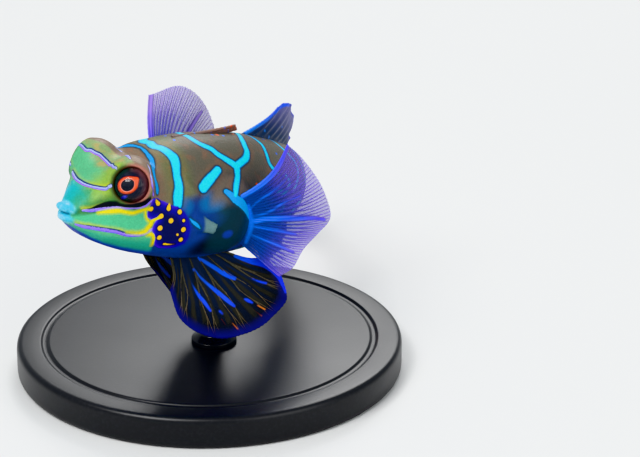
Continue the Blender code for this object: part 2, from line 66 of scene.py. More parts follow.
def paint(red: int, green: int, blue: int) -> Colour:
    """Turns a colour as it looks on a screen into the linear one that a shader takes.

    Args:
        red: Red from 0 to 255.
        green: Green from 0 to 255.
        blue: Blue from 0 to 255.

    Returns:
        The linear red, green and blue.
    """
    shares = (red / 255, green / 255, blue / 255)
    return tuple(v / 12.92 if v <= 0.04045 else ((v + 0.055) / 1.055) ** 2.4 for v in shares)


def curve(points: Profile, at: Array) -> Array:
    """Reads a smooth profile that doesn't overshoot between its points.

    Args:
        points: Places and the values there.
        at: Places to read.

    Returns:
        The values at those places.
    """
    places = np.array([point[0] for point in points], float)
    values = np.array([point[1] for point in points], float)
    steps = np.diff(places)
    rises = np.diff(values) / steps
    slopes = np.zeros(len(places))
    slopes[0] = rises[0]
    slopes[-1] = rises[-1]
    for i in range(1, len(places) - 1):
        if rises[i - 1] * rises[i] > 0:
            before = 2 * steps[i] + steps[i - 1]
            after = steps[i] + 2 * steps[i - 1]
            slopes[i] = (before + after) / (before / rises[i - 1] + after / rises[i])
    at = np.clip(at, places[0], places[-1])
    i = np.clip(np.searchsorted(places, at, side="right") - 1, 0, len(steps) - 1)
    t = (at - places[i]) / steps[i]
    start = (1 + 2 * t) * (1 - t) ** 2 * values[i] + t * (1 - t) ** 2 * steps[i] * slopes[i]
    end = t * t * (3 - 2 * t) * values[i + 1] + t * t * (t - 1) * steps[i] * slopes[i + 1]
    return start + end


def along(points: Sequence[Triple], share: Array) -> Array:
    """Reads a smooth line through evenly shared control points.

    Args:
        points: Control points.
        share: Shares of the way from the first to the last.

    Returns:
        The places there, with a last axis of three.
    """
    shares = np.linspace(0, 1, len(points))
    return np.stack([curve(tuple(zip(shares, axis)), share) for axis in zip(*points)], axis=-1)


def spline(knots: Sequence[Triple], count: int) -> Array:
    """Samples a rounded path that runs through its knots.

    Args:
        knots: Knots of the path; a single one gives a dot.
        count: Number of samples.

    Returns:
        The samples, one row each.
    """
    points = np.array(knots, float)
    if len(points) == 1:
        return points
    ends = np.vstack([2 * points[0] - points[1], points, 2 * points[-1] - points[-2]])
    t = np.linspace(0, len(points) - 1, count)
    i = np.minimum(t.astype(int), len(points) - 2)
    f = (t - i)[:, None]
    a, b, c, d = ends[i], ends[i + 1], ends[i + 2], ends[i + 3]
    return 0.5 * (2 * b + (c - a) * f + (2 * a - 5 * b + 4 * c - d) * f**2 + (3 * b - a - 3 * c + d) * f**3)


def ease(value: Array, low: float, high: float) -> Array:
    """Rises smoothly from 0 to 1.

    Args:
        value: Values to read.
        low: Value at 0.
        high: Value at 1.

    Returns:
        The eased shares.
    """
    t = np.clip((value - low) / (high - low), 0, 1)
    return t * t * (3 - 2 * t)


def join(first: Array, second: Array, width: float) -> Array:
    """Takes the smaller of two distances, rounded where they meet.

    Args:
        first: One distance.
        second: The other distance.
        width: Width of the rounding.

    Returns:
        The joined distance.
    """
    share = np.clip(0.5 + 0.5 * (second - first) / width, 0, 1)
    return second * (1 - share) + first * share - width * share * (1 - share)


def carve(body: Array, tool: Array, width: float) -> Array:
    """Cuts one shape out of another with a rounded edge.

    Args:
        body: Distance from what is cut.
        tool: Distance from what cuts.
        width: Width of the rounding.

    Returns:
        The distance from what is left.
    """
    return -join(-body, tool, width)


def ball(points: Array, centre: Triple, radii: Triple) -> Array:
    """Gives the rough distance from an ellipsoid.

    Args:
        points: Places to read.
        centre: Middle of the ellipsoid.
        radii: Its three radii.

    Returns:
        The distances, negative inside.
    """
    ratio = np.linalg.norm((points - np.array(centre)) / np.array(radii), axis=-1)
    return (ratio - 1) * min(radii)


def oval(x: Array, y: Array, radii: tuple[float, float]) -> Array:
    """Gives the rough distance from an ellipse about the middle.

    Args:
        x: Places across.
        y: Places upwards.
        radii: Its two radii.

    Returns:
        The distances, negative inside.
    """
    return (np.hypot(x / radii[0], y / radii[1]) - 1) * radii[1]


def unit(vector: Sequence[float]) -> Array:
    """Scales a vector to a length of 1.

    Args:
        vector: Any vector but zero.

    Returns:
        The unit vector.
    """
    return np.array(vector, float) / np.linalg.norm(vector)


def outline_gap(points: Array, corners: Array) -> Array:
    """Measures points in a plane against an outline.

    Args:
        points: Plane points, one row each.
        corners: Corners of the outline in order.

    Returns:
        Distances from the outline, negative inside.
    """
    gap = np.full(len(points), np.inf)
    inside = np.zeros(len(points), bool)
    for start, end in zip(corners, np.roll(corners, -1, axis=0)):
        side = end - start
        rest = points - start
        share = np.clip(rest @ side / (side @ side), 0, 1)
        gap = np.minimum(gap, np.linalg.norm(rest - share[:, None] * side, axis=1))
        crosses = (start[1] > points[:, 1]) != (end[1] > points[:, 1])
        rise = side[1] if side[1] else TINY
        inside ^= crosses & (points[:, 0] < start[0] + side[0] * (points[:, 1] - start[1]) / rise)
    return np.where(inside, -gap, gap)


class Side(Enum):
    """The fish's own sides, as the sign of x."""

    LEFT = 1
    RIGHT = -1


EYE_AXIS = {Side.LEFT: (0.66, -0.72, 0.22), Side.RIGHT: (-0.86, -0.42, 0.28)}


@dataclass(frozen=True)
class Curl:
    """Curl of the body: how far it turns to the right and dips at each station, in degrees."""

    swing: Profile = ((0, 0), (12, 0), (20, 6), (30, 22), (40, 41), (50, 57), (56, 60), (64, 54), (75, 46))
    dip: Profile = ((0, 11), (34, 11), (44, 15), (55, 22), (75, 24))
    step: float = 0.25
    first: float = -10.0
    last: float = 90.0
    pivot: float = 15.0
    pivot_place: Triple = (2.5, -8.0, 24.0)

    def frames(self, at: Array) -> tuple[Array, Array, Array]:
        """Gives the curled body's directions at stations along it.

        Args:
            at: Stations in millimetres.

        Returns:
            The directions backwards, to the left and up.
        """
        swing = np.radians(curve(self.swing, at))
        dip = np.radians(curve(self.dip, at))
        back = np.stack([-np.sin(swing) * np.cos(dip), np.cos(swing) * np.cos(dip), -np.sin(dip)], axis=-1)
        left = np.stack([np.cos(swing), np.sin(swing), np.zeros_like(swing)], axis=-1)
        up = np.stack([-np.sin(swing) * np.sin(dip), np.cos(swing) * np.sin(dip), np.cos(dip)], axis=-1)
        return back, left, up

    def bend(self, points: Array, carried_at: float | None = None) -> Array:
        """Carries straight points to their place in the frame.

        Args:
            points: Straight points in millimetres.
            carried_at: Station whose frame carries them all unbent, if any.

        Returns:
            The places in metres.
        """
        stations = np.arange(self.first, self.last, self.step)
        travel = np.cumsum(self.frames(stations + self.step / 2)[0] * self.step, axis=0)
        line = np.vstack([np.zeros(3), travel[:-1]])
        pivot = np.array([np.interp(self.pivot, stations, line[:, axis]) for axis in range(3)])
        line = line - pivot + np.array(self.pivot_place)
        s = points[..., 1]
        station = s if carried_at is None else np.full_like(s, carried_at)
        centre = np.stack([np.interp(station, stations, line[:, axis]) for axis in range(3)], axis=-1)
        back, left, up = self.frames(station)
        places = centre + (s - station)[..., None] * back + points[..., :1] * left + points[..., 2:] * up
        return places * MM


@dataclass(frozen=True)
class BodyShape:
    """Straight body of the fish as a rough distance from its skin, in millimetres."""

    back: Profile = (
        *((0.8, 0.7), (2.2, 2.5), (5, 5.0), (7, 6.1), (9, 6.3), (10.5, 7.5), (12, 8.0), (18, 8.8), (24, 8.5)),
        *((32, 7.0), (42, 4.6), (50, 3.1), (55, 3.0), (58, 3.1)),
    )
    belly: Profile = (
        *((0.8, -1.3), (2.6, -2.7), (5.3, -3.9), (9, -4.9), (18, -6.0), (25, -5.9)),
        *((32, -5.1), (40, -3.9), (48, -3.1), (55, -3.0), (58, -3.1)),
    )
    half_width: Profile = (
        *((0.8, 1.3), (2.4, 3.0), (4.2, 5.0), (7, 6.1), (10, 6.8), (14, 7.2), (18, 7.0)),
        *((28, 5.6), (42, 3.1), (49, 2.1), (55, 1.4), (57, 0.5), (58, 0.25)),
    )
    widest_height: Profile = ((0, -0.5), (3, -0.9), (9, -1.0), (16, -0.7), (26, -0.2), (40, 0.0))
    upper_roundness: Profile = ((0, 2.0), (3, 2.9), (6, 2.5), (9, 2.5), (13, 2.1), (20, 2.0))
    lower_roundness: Profile = ((0, 2.0), (8, 2.3), (20, 2.5), (35, 2.2), (55, 2.0))
    axis_height: Profile = ((0, -1.3), (9, -1.0), (20, 0.2), (55, 0.0))
    snout_tip: float = 0.9
    snout_bluntness: float = 0.7
    head_reach: float = 26.0
    dome_centre: Triple = (4.35, 7.0, 4.15)
    dome_radius: float = 2.75
    dome_blend: float = 1.5
    brow_centre: Triple = (3.5, 6.8, 5.3)
    brow_radius: float = 1.9
    brow_blend: float = 1.8
    lid_radius: float = 2.3
    lid_tube: float = 0.19
    lid_forward: float = 1.5
    lid_blend: float = 0.6
    lobe_centre: Triple = (6.0, 19.4, 0.1)
    lobe_radii: Triple = (1.9, 2.9, 4.1)
    lobe_blend: float = 0.8
    upper_lip: tuple[Triple, Triple] = ((0, 0.75, 0.45), (1.2, 0.85, 0.56))
    lower_lip: tuple[Triple, Triple] = ((0, 1.05, -0.75), (1.1, 0.85, 0.52))
    mouth_line: tuple[Triple, Triple] = ((0, 0.35, -0.18), (1.2, 0.9, 0.1))
    lip_blend: float = 0.3
    mouth_blend: float = 0.12
    nostril: Triple = (1.75, 2.75, 2.85)
    nostril_radius: float = 0.3
    nostril_blend: float = 0.25
    bore_radius: float = 0.15
    bore_offset: Triple = (0.08, -0.16, 0.18)
    bore_blend: float = 0.08
    gill_from: Triple = (5.5, 13.2, 4.8)
    gill_to: Triple = (6.4, 14.4, 3.2)
    gill_radius: float = 0.22
    gill_blend: float = 0.2
    gill_rim: float = 0.42
    gill_rim_blend: float = 0.5
    flap_from: Triple = (6.85, 14.2, 0.15)
    flap_to: Triple = (7.8, 16.85, -0.75)
    flap_radii: tuple[float, float] = (1.0, 0.64)
    flap_flatness: float = 0.4
    flap_blend: float = 0.3
    far: float = 14.0
    rounds: int = 60
    stride: float = 0.6
    least_reach: float = 0.01

    def distance(self, points: Array) -> Array:
        """Measures points against the skin.

        Args:
            points: Straight points.

        Returns:
            Rough distances, negative inside the body.
        """
        x, s, z = points[..., 0], points[..., 1], points[..., 2]
        middle = curve(self.widest_height, s)
        above = z > middle
        height = np.where(above, curve(self.back, s) - middle, middle - curve(self.belly, s))
        power = np.where(above, curve(self.upper_roundness, s), curve(self.lower_roundness, s))
        width = curve(self.half_width, s)
        ratio = (np.abs(x / width) ** power + np.abs((z - middle) / height) ** power) ** (1 / power)
        body = (ratio - 1) * np.minimum(width, height)
        if s.min() > self.head_reach:
            return body
        body = np.maximum(body, (self.snout_tip - s) * self.snout_bluntness)
        for side in Side:
            body = self.add_side(body, points * (side.value, 1, 1), side)
        body = join(body, ball(points, *self.upper_lip), self.lip_blend)
        body = join(body, ball(points, *self.lower_lip), self.lip_blend)
        return carve(body, ball(points, *self.mouth_line), self.mouth_blend)

    def add_side(self, body: Array, points: Array, side: Side) -> Array:
        """Adds the dome, lid, nostril, gill slit, cheek flap and fin lobe of one side.

        Args:
            body: Distance so far.
            points: Points mirrored to the left side.
            side: The side that they stand for.

        Returns:
            The distance with them.
        """
        dome = (self.dome_radius,) * 3
        body = join(body, ball(points, self.dome_centre, dome), self.dome_blend)
        body = join(body, ball(points, self.brow_centre, (self.brow_radius,) * 3), self.brow_blend)
        body = join(body, ball(points, self.lobe_centre, self.lobe_radii), self.lobe_blend)
        axis = unit(EYE_AXIS[side]) * (side.value, 1, 1)
        rest = points - np.array(self.dome_centre)
        forward = rest @ axis
        off = np.linalg.norm(rest - forward[..., None] * axis, axis=-1)
        lid = np.hypot(forward - self.lid_forward, off - self.lid_radius) - self.lid_tube
        body = join(body, lid, self.lid_blend)
        body = join(body, self.flap(points), self.flap_blend)
        body = join(body, self.slit(points, self.gill_rim), self.gill_rim_blend)
        body = carve(body, self.slit(points, self.gill_radius), self.gill_blend)
        body = join(body, ball(points, self.nostril, (self.nostril_radius,) * 3), self.nostril_blend)
        bore = ball(points, np.array(self.nostril) + self.bore_offset, (self.bore_radius,) * 3)
        return carve(body, bore, self.bore_blend)

    def slit(self, points: Array, radius: float) -> Array:
        """Measures points against the gill slit.

        Args:
            points: Points mirrored to the left side.
            radius: Half width of the slit.

        Returns:
            The distances.
        """
        start = np.array(self.gill_from)
        way = np.array(self.gill_to) - start
        share = np.clip((points - start) @ way / (way @ way), 0, 1)
        return np.linalg.norm(points - start - share[..., None] * way, axis=-1) - radius

    def flap(self, points: Array) -> Array:
        """Measures points against the blunt flat spine on the cheek.

        Args:
            points: Points mirrored to the left side.

        Returns:
            The distances.
        """
        start = np.array(self.flap_from)
        way = np.array(self.flap_to) - start
        length = np.linalg.norm(way)
        run = (points - start) @ (way / length)
        share = np.clip(run / length, 0, 1)
        off = points - start - run[..., None] * way / length
        off = off / (self.flap_flatness, 1, 1)
        radius = self.flap_radii[0] + (self.flap_radii[1] - self.flap_radii[0]) * share
        side = (np.linalg.norm(off, axis=-1) - radius) * self.flap_flatness
        return np.maximum(side, np.maximum(run - length, -run))

    def trace(self, centre: Array, direction: Array) -> Array:
        """Finds the outermost skin on rays that leave the body's axis.

        Args:
            centre: Starts of the rays.
            direction: Unit directions of the rays.

        Returns:
            The skin points.
        """
        reach = np.full(direction.shape[:-1], self.far)
        for _ in range(self.rounds):
            reach = reach - self.stride * self.distance(centre + direction * reach[..., None])
            reach = np.maximum(reach, self.least_reach)
        return centre + direction * reach[..., None]

    def at_turn(self, turn: Array, station: Array) -> Array:
        """Finds the skin at turns about the axis, from the top to the left, and stations along it.

        Args:
            turn: Turns in degrees.
            station: Stations in millimetres.

        Returns:
            The skin points.
        """
        turn = np.radians(turn)
        centre = np.stack([np.zeros_like(station), station, curve(self.axis_height, station)], axis=-1)
        direction = np.stack([np.sin(turn), np.zeros_like(turn), np.cos(turn)], axis=-1)
        return self.trace(centre, direction)


class Value:
    """A socket of a node tree that Python operators join to others with Math nodes."""

    def __init__(self, tree: "Tree", socket: bpy.types.NodeSocket) -> None:
        """Keeps the tree and the socket."""
        self.tree = tree
        self.socket = socket

    def __add__(self, other: Input) -> "Value":
        """Adds a value."""
        return self.tree.maths("ADD", self, other)

    def __sub__(self, other: Input) -> "Value":
        """Takes a value away."""
        return self.tree.maths("SUBTRACT", self, other)

    def __rsub__(self, other: Input) -> "Value":
        """Is taken away from a value."""
        return self.tree.maths("SUBTRACT", other, self)

    def __mul__(self, other: Input) -> "Value":
        """Multiplies by a value."""
        return self.tree.maths("MULTIPLY", self, other)

    def __truediv__(self, other: Input) -> "Value":
        """Divides by a value."""
        return self.tree.maths("DIVIDE", self, other)

    __radd__ = __add__
    __rmul__ = __mul__

    def least(self, other: Input) -> "Value":
        """Takes the smaller value."""
        return self.tree.maths("MINIMUM", self, other)

    def most(self, other: Input) -> "Value":
        """Takes the larger value."""
        return self.tree.maths("MAXIMUM", self, other)

    def rise(self, low: float, high: float) -> "Value":
        """Rises smoothly from 0 at low to 1 at high.

        Args:
            low: Value at 0.
            high: Value at 1.

        Returns:
            The share.
        """
        flip = low > high
        ends = {"From Min": min(low, high), "From Max": max(low, high)}
        values = {"Value": self, **ends, "To Min": float(flip), "To Max": float(not flip)}
        return self.tree.node("ShaderNodeMapRange", {"interpolation_type": "SMOOTHSTEP"}, values)


class Tree:
    """Builds a node tree, for a material or for Geometry Nodes."""

    def __init__(self, tree: bpy.types.NodeTree) -> None:
        """Keeps the tree that nodes are added to."""
        self.tree = tree

    def node(
        self,
        kind: str,
        settings: dict[str, object] | None = None,
        values: dict[str | int, object] | None = None,
        output: str | int = 0,
    ) -> Value:
        """Adds a node.

        Args:
            kind: The node's type.
            settings: Its own settings, which are set first.
            values: Numbers, colours or links for its sockets.
            output: The socket that is given back.

        Returns:
            That socket.
        """
        made = self.tree.nodes.new(kind)
        for name, setting in (settings or {}).items():
            setattr(made, name, setting)
        for name, value in (values or {}).items():
            self.feed(made.inputs[name], value)
        return Value(self, made.outputs[output])

    def feed(self, socket: bpy.types.NodeSocket, value: object) -> None:
        """Links or sets a socket.

        Args:
            socket: The socket to fill.
            value: A Value to link, or a plain number, colour, name or material.
        """
        if isinstance(value, Value):
            self.tree.links.new(value.socket, socket)
        elif socket.type == "RGBA":
            socket.default_value = (*value[:3], 1.0)
        else:
            socket.default_value = value

    def maths(self, operation: str, first: Input, second: Input) -> Value:
        """Adds a Math node that joins two values."""
        return self.node("ShaderNodeMath", {"operation": operation}, {0: first, 1: second})

    def mix(self, share: Input, first: Input, second: Input) -> Value:
        """Mixes two colours by the share of the second."""
        return self.node("ShaderNodeMix", {"data_type": "RGBA"}, {0: share, 6: first, 7: second}, 2)

    def layers(self, base: Input, *layers: Layer) -> Value:
        """Mixes colours over one another.

        Args:
            base: The lowest colour.
            layers: Share and colour of each layer, from the lowest.

        Returns:
            The mixed colour.
        """
        for share, colour in layers:
            base = self.mix(share, base, colour)
        return base

    def attribute(self, name: str, output: str = "Fac") -> Value:
        """Reads an attribute of the mesh: Fac for a number, Vector for a place."""
        return self.node("ShaderNodeAttribute", {"attribute_name": name}, {}, output)

    def noise(self, place: Value, scale: float, detail: float = 3.0) -> Value:
        """Adds soft noise about 0.5 at a place, with a scale and a number of finer layers."""
        return self.node("ShaderNodeTexNoise", {}, {"Vector": place, "Scale": scale, "Detail": detail})


class Surface(Tree):
    """A material's node tree with its Principled shader."""

    def __init__(self, name: str) -> None:
        """Makes the material."""
        self.material = bpy.data.materials.new(name)
        self.material.use_nodes = True
        super().__init__(self.material.node_tree)
        self.shader = self.tree.nodes["Principled BSDF"]

    def dress(self, **values: object) -> bpy.types.Material:
        """Fills the shader's sockets.

        Args:
            values: Values by the socket's name, in lower case with underscores.

        Returns:
            The material.
        """
        for name, value in values.items():
            label = name.replace("_", " ").title().replace("Ior", "IOR")
            self.feed(self.shader.inputs[label], value)
        return self.material

    def bump(self, height: Value, depth: float) -> Value:
        """Turns a height from 0 to 1 into a normal, with its real depth in millimetres."""
        values = {"Height": height, "Distance": depth * MM, "Strength": 1.0}
        return self.node("ShaderNodeBump", {}, values)


class SkinSurface(Surface):
    """The skin's material with the places and the noise that its colours read."""

    def __init__(self, cloud_scale: float, grain_scale: float) -> None:
        """Reads the places and adds the noise."""
        super().__init__("painted_skin")
        self.place = self.attribute("place", "Vector")
        self.side = self.node("ShaderNodeSeparateXYZ", {}, {0: self.place}, 0)
        self.station = self.node("ShaderNodeSeparateXYZ", {}, {0: self.place}, 1)
        self.turn = self.attribute("turn")
        self.cloud = self.noise(self.place, cloud_scale)
        self.grain = self.noise(self.place, grain_scale)
        self.wobble = (self.cloud - 0.5) * 0.16 + (self.grain - 0.5) * 0.08


@dataclass(frozen=True)
class Blot:
    """A soft oval on both flanks, by turns in degrees and stations in millimetres."""

    middle: tuple[float, float]
    half_size: tuple[float, float]
    share: float = 1.0

    def mask(self, tree: SkinSurface) -> Value:
        """Masks the oval.

        Args:
            tree: Tree to build in.

        Returns:
            The blot's share in the middle, 0 outside.
        """
        across = (tree.turn - self.middle[0]) / self.half_size[0]
        run = (tree.station - self.middle[1]) / self.half_size[1]
        return (across * across + run * run).rise(1.0, 0.1) * self.share


@dataclass(frozen=True)
class SkinFinish:
    """Wet, painted skin of the fish."""

    lagoon: Colour = paint(34, 172, 176)
    shore: Colour = paint(48, 186, 214)
    leaf: Colour = paint(68, 154, 92)
    aqua: Colour = paint(94, 178, 130)
    grass: Colour = paint(142, 178, 76)
    # Dark green: painted shade under the eye's dome, above the wedge.
    fern_painted_shade: Colour = paint(34, 98, 50)
    moss: Colour = paint(136, 160, 110)
    tan: Colour = paint(178, 158, 102)
    lime: Colour = paint(188, 196, 48)
    cheek: Colour = paint(86, 186, 138)
    chin: Colour = paint(58, 172, 142)
    throat: Colour = paint(14, 62, 176)
    brown: Colour = paint(134, 114, 96)
    olive: Colour = paint(106, 112, 78)
    stone: Colour = paint(98, 94, 82)
    rosy: Colour = paint(164, 100, 72)
    mussel: Colour = paint(26, 62, 76)
    flank: Colour = paint(10, 58, 142)
    glow: Colour = paint(6, 112, 176)
    # Dark blue of the underside, deepened by painted shade.
    belly: Colour = paint(6, 34, 100)
    # Near black: painted shadow below the pectoral fin's lobe.
    shade: Colour = paint(1, 5, 22)
    stalk: Colour = paint(138, 84, 50)
    lobe: Colour = paint(6, 46, 60)
    # Lighter brown on the top of the pectoral fin's lobe: a painted highlight.
    lobe_painted_highlight: Colour = paint(112, 100, 88)
    flap: Colour = paint(112, 146, 138)
    flap_blue: Colour = paint(8, 56, 136)
    cyan: Colour = paint(0, 220, 238)
    azure: Colour = paint(8, 156, 232)
    ink: Colour = paint(14, 62, 84)
    pale: Colour = paint(186, 196, 255)
    violet: Colour = paint(112, 84, 240)
    lilac: Colour = paint(158, 128, 250)
    pink: Colour = paint(206, 112, 204)
    navy: Colour = paint(4, 48, 112)
    lip: Colour = paint(74, 190, 220)
    # Pale flecks on the lips: painted glints.
    lip_painted_glint: Colour = paint(170, 226, 250)
    patch_heart: Colour = paint(3, 8, 78)
    patch_mid: Colour = paint(22, 18, 168)
    patch_edge: Colour = paint(80, 44, 226)
    yellow: Colour = paint(246, 200, 24)
    lemon: Colour = paint(222, 206, 26)
    black: Colour = paint(2, 6, 16)
    rim: Colour = paint(176, 116, 104)
    rim_front: Colour = paint(84, 108, 56)
    # A darker copy of the rim: painted shade where the skin turns into the socket.
    rim_painted_shade: Colour = paint(84, 56, 50)
    spot_blue: Colour = paint(22, 110, 244)
    spot_red: Colour = paint(236, 92, 34)
    collar: Blot = Blot((80, 14.2), (22, 3.6), 0.9)
    lobe_glow: Blot = Blot((70, 16.6), (13, 2.2), 0.8)
    collar_glow: Blot = Blot((70, 12.7), (12, 1.7), 0.6)
    # Where the painted shadow below the pectoral fin's lobe falls.
    fin_shade: Blot = Blot((118, 17.6), (20, 4.2))
    lobe_front: Blot = Blot((80, 16.4), (20, 2.4))
    lobe_foot: Blot = Blot((103, 18.7), (5, 0.8), 0.8)
    crisp: tuple[float, float] = (0.05, -0.05)
    cloud_scale: float = 0.8
    grain_scale: float = 5.0
    lip_scale: float = 1.5
    roughness: float = 0.44
    shine: float = 0.2
    glow_share: float = 0.06
    glow_depth: float = 0.6
    coat: float = 0.06
    coat_roughness: float = 0.2
    grain_depth: float = 0.05

    def material(self) -> bpy.types.Material:
        """Builds the material.

        Returns:
            The skin's material.
        """
        tree = SkinSurface(self.cloud_scale, self.grain_scale)
        base = tree.layers(
            self.body(tree),
            (tree.attribute("face").rise(-0.2, 0.3), self.face(tree)),
            *self.stripes(tree),
            *self.eyelids(tree),
            *self.lines(tree),
            *self.cheek_marks(tree),
            (tree.grain.rise(0.25, 0.75) * 0.16, self.black),
        )
        return tree.dress(
            base_color=base,
            roughness=tree.grain * 0.2 + self.roughness - 0.1,
            normal=tree.bump(tree.grain, self.grain_depth),
            specular_ior_level=self.shine,
            coat_weight=self.coat,
            coat_roughness=self.coat_roughness,
            subsurface_weight=self.glow_share,
            subsurface_scale=self.glow_depth * MM,
        )

    def body(self, tree: SkinSurface) -> Value:
        """Colours the trunk under its marks.

        Args:
            tree: Tree to build in.

        Returns:
            The colour.
        """
        station, turn, cloud = tree.station, tree.turn, tree.cloud
        drift = turn + cloud * 16 - 8
        lobe = tree.attribute("lobe")
        behind = 1 - self.lobe_front.mask(tree)
        flap = tree.mix(station.rise(15.7, 15.2), self.flap, self.flap_blue)
        return tree.layers(
            self.brown,
            (station.rise(9.5, 11.5), self.olive),
            (station.rise(13.0, 15.0), self.stone),
            (cloud.rise(0.5, 0.75) * 0.25, self.rosy),
            (drift.rise(58, 80), self.mussel),
            (drift.rise(76, 104), self.flank),
            # Underside: blue, darkened as painted shade.
            (drift.rise(128, 165), self.belly),
            (self.collar.mask(tree), self.flank),
            (self.lobe_glow.mask(tree), self.glow),
            (self.collar_glow.mask(tree), self.glow),
            # Painted shadow on the flank below the pectoral fin's lobe.
            (self.fin_shade.mask(tree), self.shade),
            ((station + cloud * 2).rise(52.0, 55.8), self.stalk),
            (lobe.rise(0.9, 0.1) * behind, self.lobe),
            # Painted highlight on the top of the lobe.
            (lobe.rise(0.8, 0.2) * turn.rise(82, 66) * 0.85, self.lobe_painted_highlight),
            (self.lobe_foot.mask(tree), self.throat),
            (tree.attribute("flap").rise(0.12, -0.05), flap),
        )

    def face(self, tree: SkinSurface) -> Value:
        """Colours the face under its marks.

        Args:
            tree: Tree to build in.

        Returns:
            The colour.
        """
        turn, cloud = tree.turn, tree.cloud
        station = tree.station + cloud - 0.5
        near = (tree.side + cloud * 2 - 1).rise(-0.8, 2.8)
        top = tree.mix(cloud.rise(0.48, 0.68) * 0.7, self.moss, self.tan)
        # Painted shade: darker green within 2 mm of the wedge's upper side, under the eye.
        wedge = (tree.attribute("wedge") + cloud * 0.8).rise(2.0, 0.2) * turn.rise(64, 60)
        above = tree.attribute("lean").rise(-0.1, 0.15) * 0.9 + 0.1
        low = station.rise(5.4, 4.4).most(turn.rise(48, 60))
        halo = (tree.attribute("violet") + cloud * 0.6).rise(0.95, 0.25) * above * low
        lips = tree.attribute("lips") + cloud * 0.2
        # Random pale flecks on the lips, painted as glints.
        glint = tree.noise(tree.place, self.lip_scale).rise(0.4, 0.75) * 0.8
        return tree.layers(
            tree.mix(near, self.lagoon, self.leaf),
            (station.rise(2.0, 3.6), tree.mix(near, self.aqua, self.grass)),
            (tree.side.rise(-0.6, -2.4) * station.rise(3.4, 1.6), self.shore),
            (station.rise(4.6, 5.6), top),
            (turn.rise(46, 62), self.cheek),
            (turn.rise(92, 106), self.chin),
            ((turn + cloud * 8).rise(114, 126), self.throat),
            # Painted shade under the eye.
            (wedge * 0.85, self.fern_painted_shade),
            (halo * (near * 0.5 + 0.5) * 0.8, self.lime),
            (lips.rise(0.5, 0.1), tree.mix(glint, self.lip, self.lip_painted_glint)),
        )

    def eyelids(self, tree: SkinSurface) -> tuple[Layer, ...]:
        """Colours the skin around the eyes, with painted shade darkening it at the edge of the sockets.

        Args:
            tree: Tree to build in.

        Returns:
            The layers.
        """
        orbit = tree.attribute("orbit")
        front = (tree.attribute("front") + tree.cloud * 0.6).rise(1.4, 2.4)
        rim = tree.mix(front, self.rim, self.rim_front)
        return (
            ((orbit + tree.cloud * 0.3).rise(0.85, 0.35), rim),
            # Painted shade at the edge of the socket.
            (orbit.rise(0.28, -0.06), self.rim_painted_shade),
        )

    def stripes(self, tree: SkinSurface) -> tuple[Layer, ...]:
        """Paints the cyan and azure stripes and the small spots.

        Args:
            tree: Tree to build in.

        Returns:
            The layers.
        """
        cyan = tree.attribute("cyan") + tree.wobble
        azure = tree.attribute("azure") + tree.wobble
        core = tree.mix(cyan.rise(-0.04, -0.16), self.azure, self.cyan)
        return (
            (cyan.rise(1.1, 0.3) * 0.1, self.rosy),
            (cyan.least(azure).rise(0.34, 0.02) * 0.9, self.ink),
            (azure.rise(*self.crisp), self.azure),
            (cyan.rise(0.05, -0.04), core),
            ((tree.attribute("blue_spot") + tree.wobble).rise(*self.crisp), self.spot_blue),
            ((tree.attribute("red_spot") + tree.wobble).rise(*self.crisp), self.spot_red),
        )

    def lines(self, tree: SkinSurface) -> tuple[Layer, ...]:
        """Paints the face's lines: a dark upper edge, a pale core and a violet, pink lower edge.

        Args:
            tree: Tree to build in.

        Returns:
            The layers.
        """
        line = tree.attribute("violet") + tree.wobble * 0.4
        lean = tree.attribute("lean") + tree.wobble * 0.3
        edge = lean.rise(0.08, 0.15)
        colour = tree.layers(
            self.pink,
            (lean.rise(-0.2, -0.12), self.violet),
            (lean.rise(-0.1, -0.03), tree.mix(tree.turn.rise(45, 52), self.pale, self.lilac)),
            (edge, self.navy),
        )
        return (
            (line.rise(0.16, 0.05) * (edge * 0.7 + 0.2), self.navy),
            (line.rise(0.03, -0.03), colour),
        )

    def cheek_marks(self, tree: SkinSurface) -> tuple[Layer, ...]:
        """Paints the wedge, the yellow bands and the dotted patch.

        Args:
            tree: Tree to build in.

        Returns:
            The layers.
        """
        turn, station, wobble = tree.turn, tree.station, tree.wobble
        wedge = (tree.attribute("wedge") + wobble * 0.5).rise(0.14, -0.08)
        patch = tree.attribute("patch") + wobble * 1.4
        dot = tree.attribute("dot") + wobble * 0.5
        yellow = tree.attribute("yellow") + wobble * 0.4
        fill = tree.layers(
            self.patch_mid,
            (patch.rise(-0.2, -1.3), self.patch_heart),
            (patch.rise(-0.4, 0.05) * station.rise(13.0, 10.5) * 0.8, self.patch_edge),
        )
        return (
            (wedge * tree.attribute("violet").rise(-0.02, 0.06), self.black),
            (patch.rise(0.5, -0.3) * turn.rise(66, 74) * station.rise(10.5, 13.0), fill),
            (patch.rise(0.14, -0.04), fill),
            (dot.rise(0.24, 0.06) * patch.rise(0.1, -0.1), self.patch_heart),
            (yellow.rise(0.34, 0.05) * 0.7 * patch.rise(-0.1, 0.1), self.lime),
            (yellow.rise(*self.crisp), self.lemon),
            (dot.rise(*self.crisp), self.yellow),
        )


class Ink(Enum):
    """What a mark on the skin is painted with: its attribute's name."""

    CYAN = "cyan"
    AZURE = "azure"
    VIOLET = "violet"
    YELLOW = "yellow"
    DOT = "dot"
    BLUE_SPOT = "blue_spot"
    RED_SPOT = "red_spot"


@dataclass(frozen=True)
class Mark:
    """A painted line: its knots are a turn in degrees, a station and a half width in millimetres."""

    ink: Ink
    path: Path
    mirrored: bool = True


def painted(ink: Ink, paths: Sequence[Path], mirrored: bool = True) -> tuple[Mark, ...]:
    """Makes one mark along each path.

    Args:
        ink: What they are painted with.
        paths: Their knots; a single one gives a dot.
        mirrored: Whether the right side has them too.

    Returns:
        The marks.
    """
    return tuple(Mark(ink, path, mirrored) for path in paths)


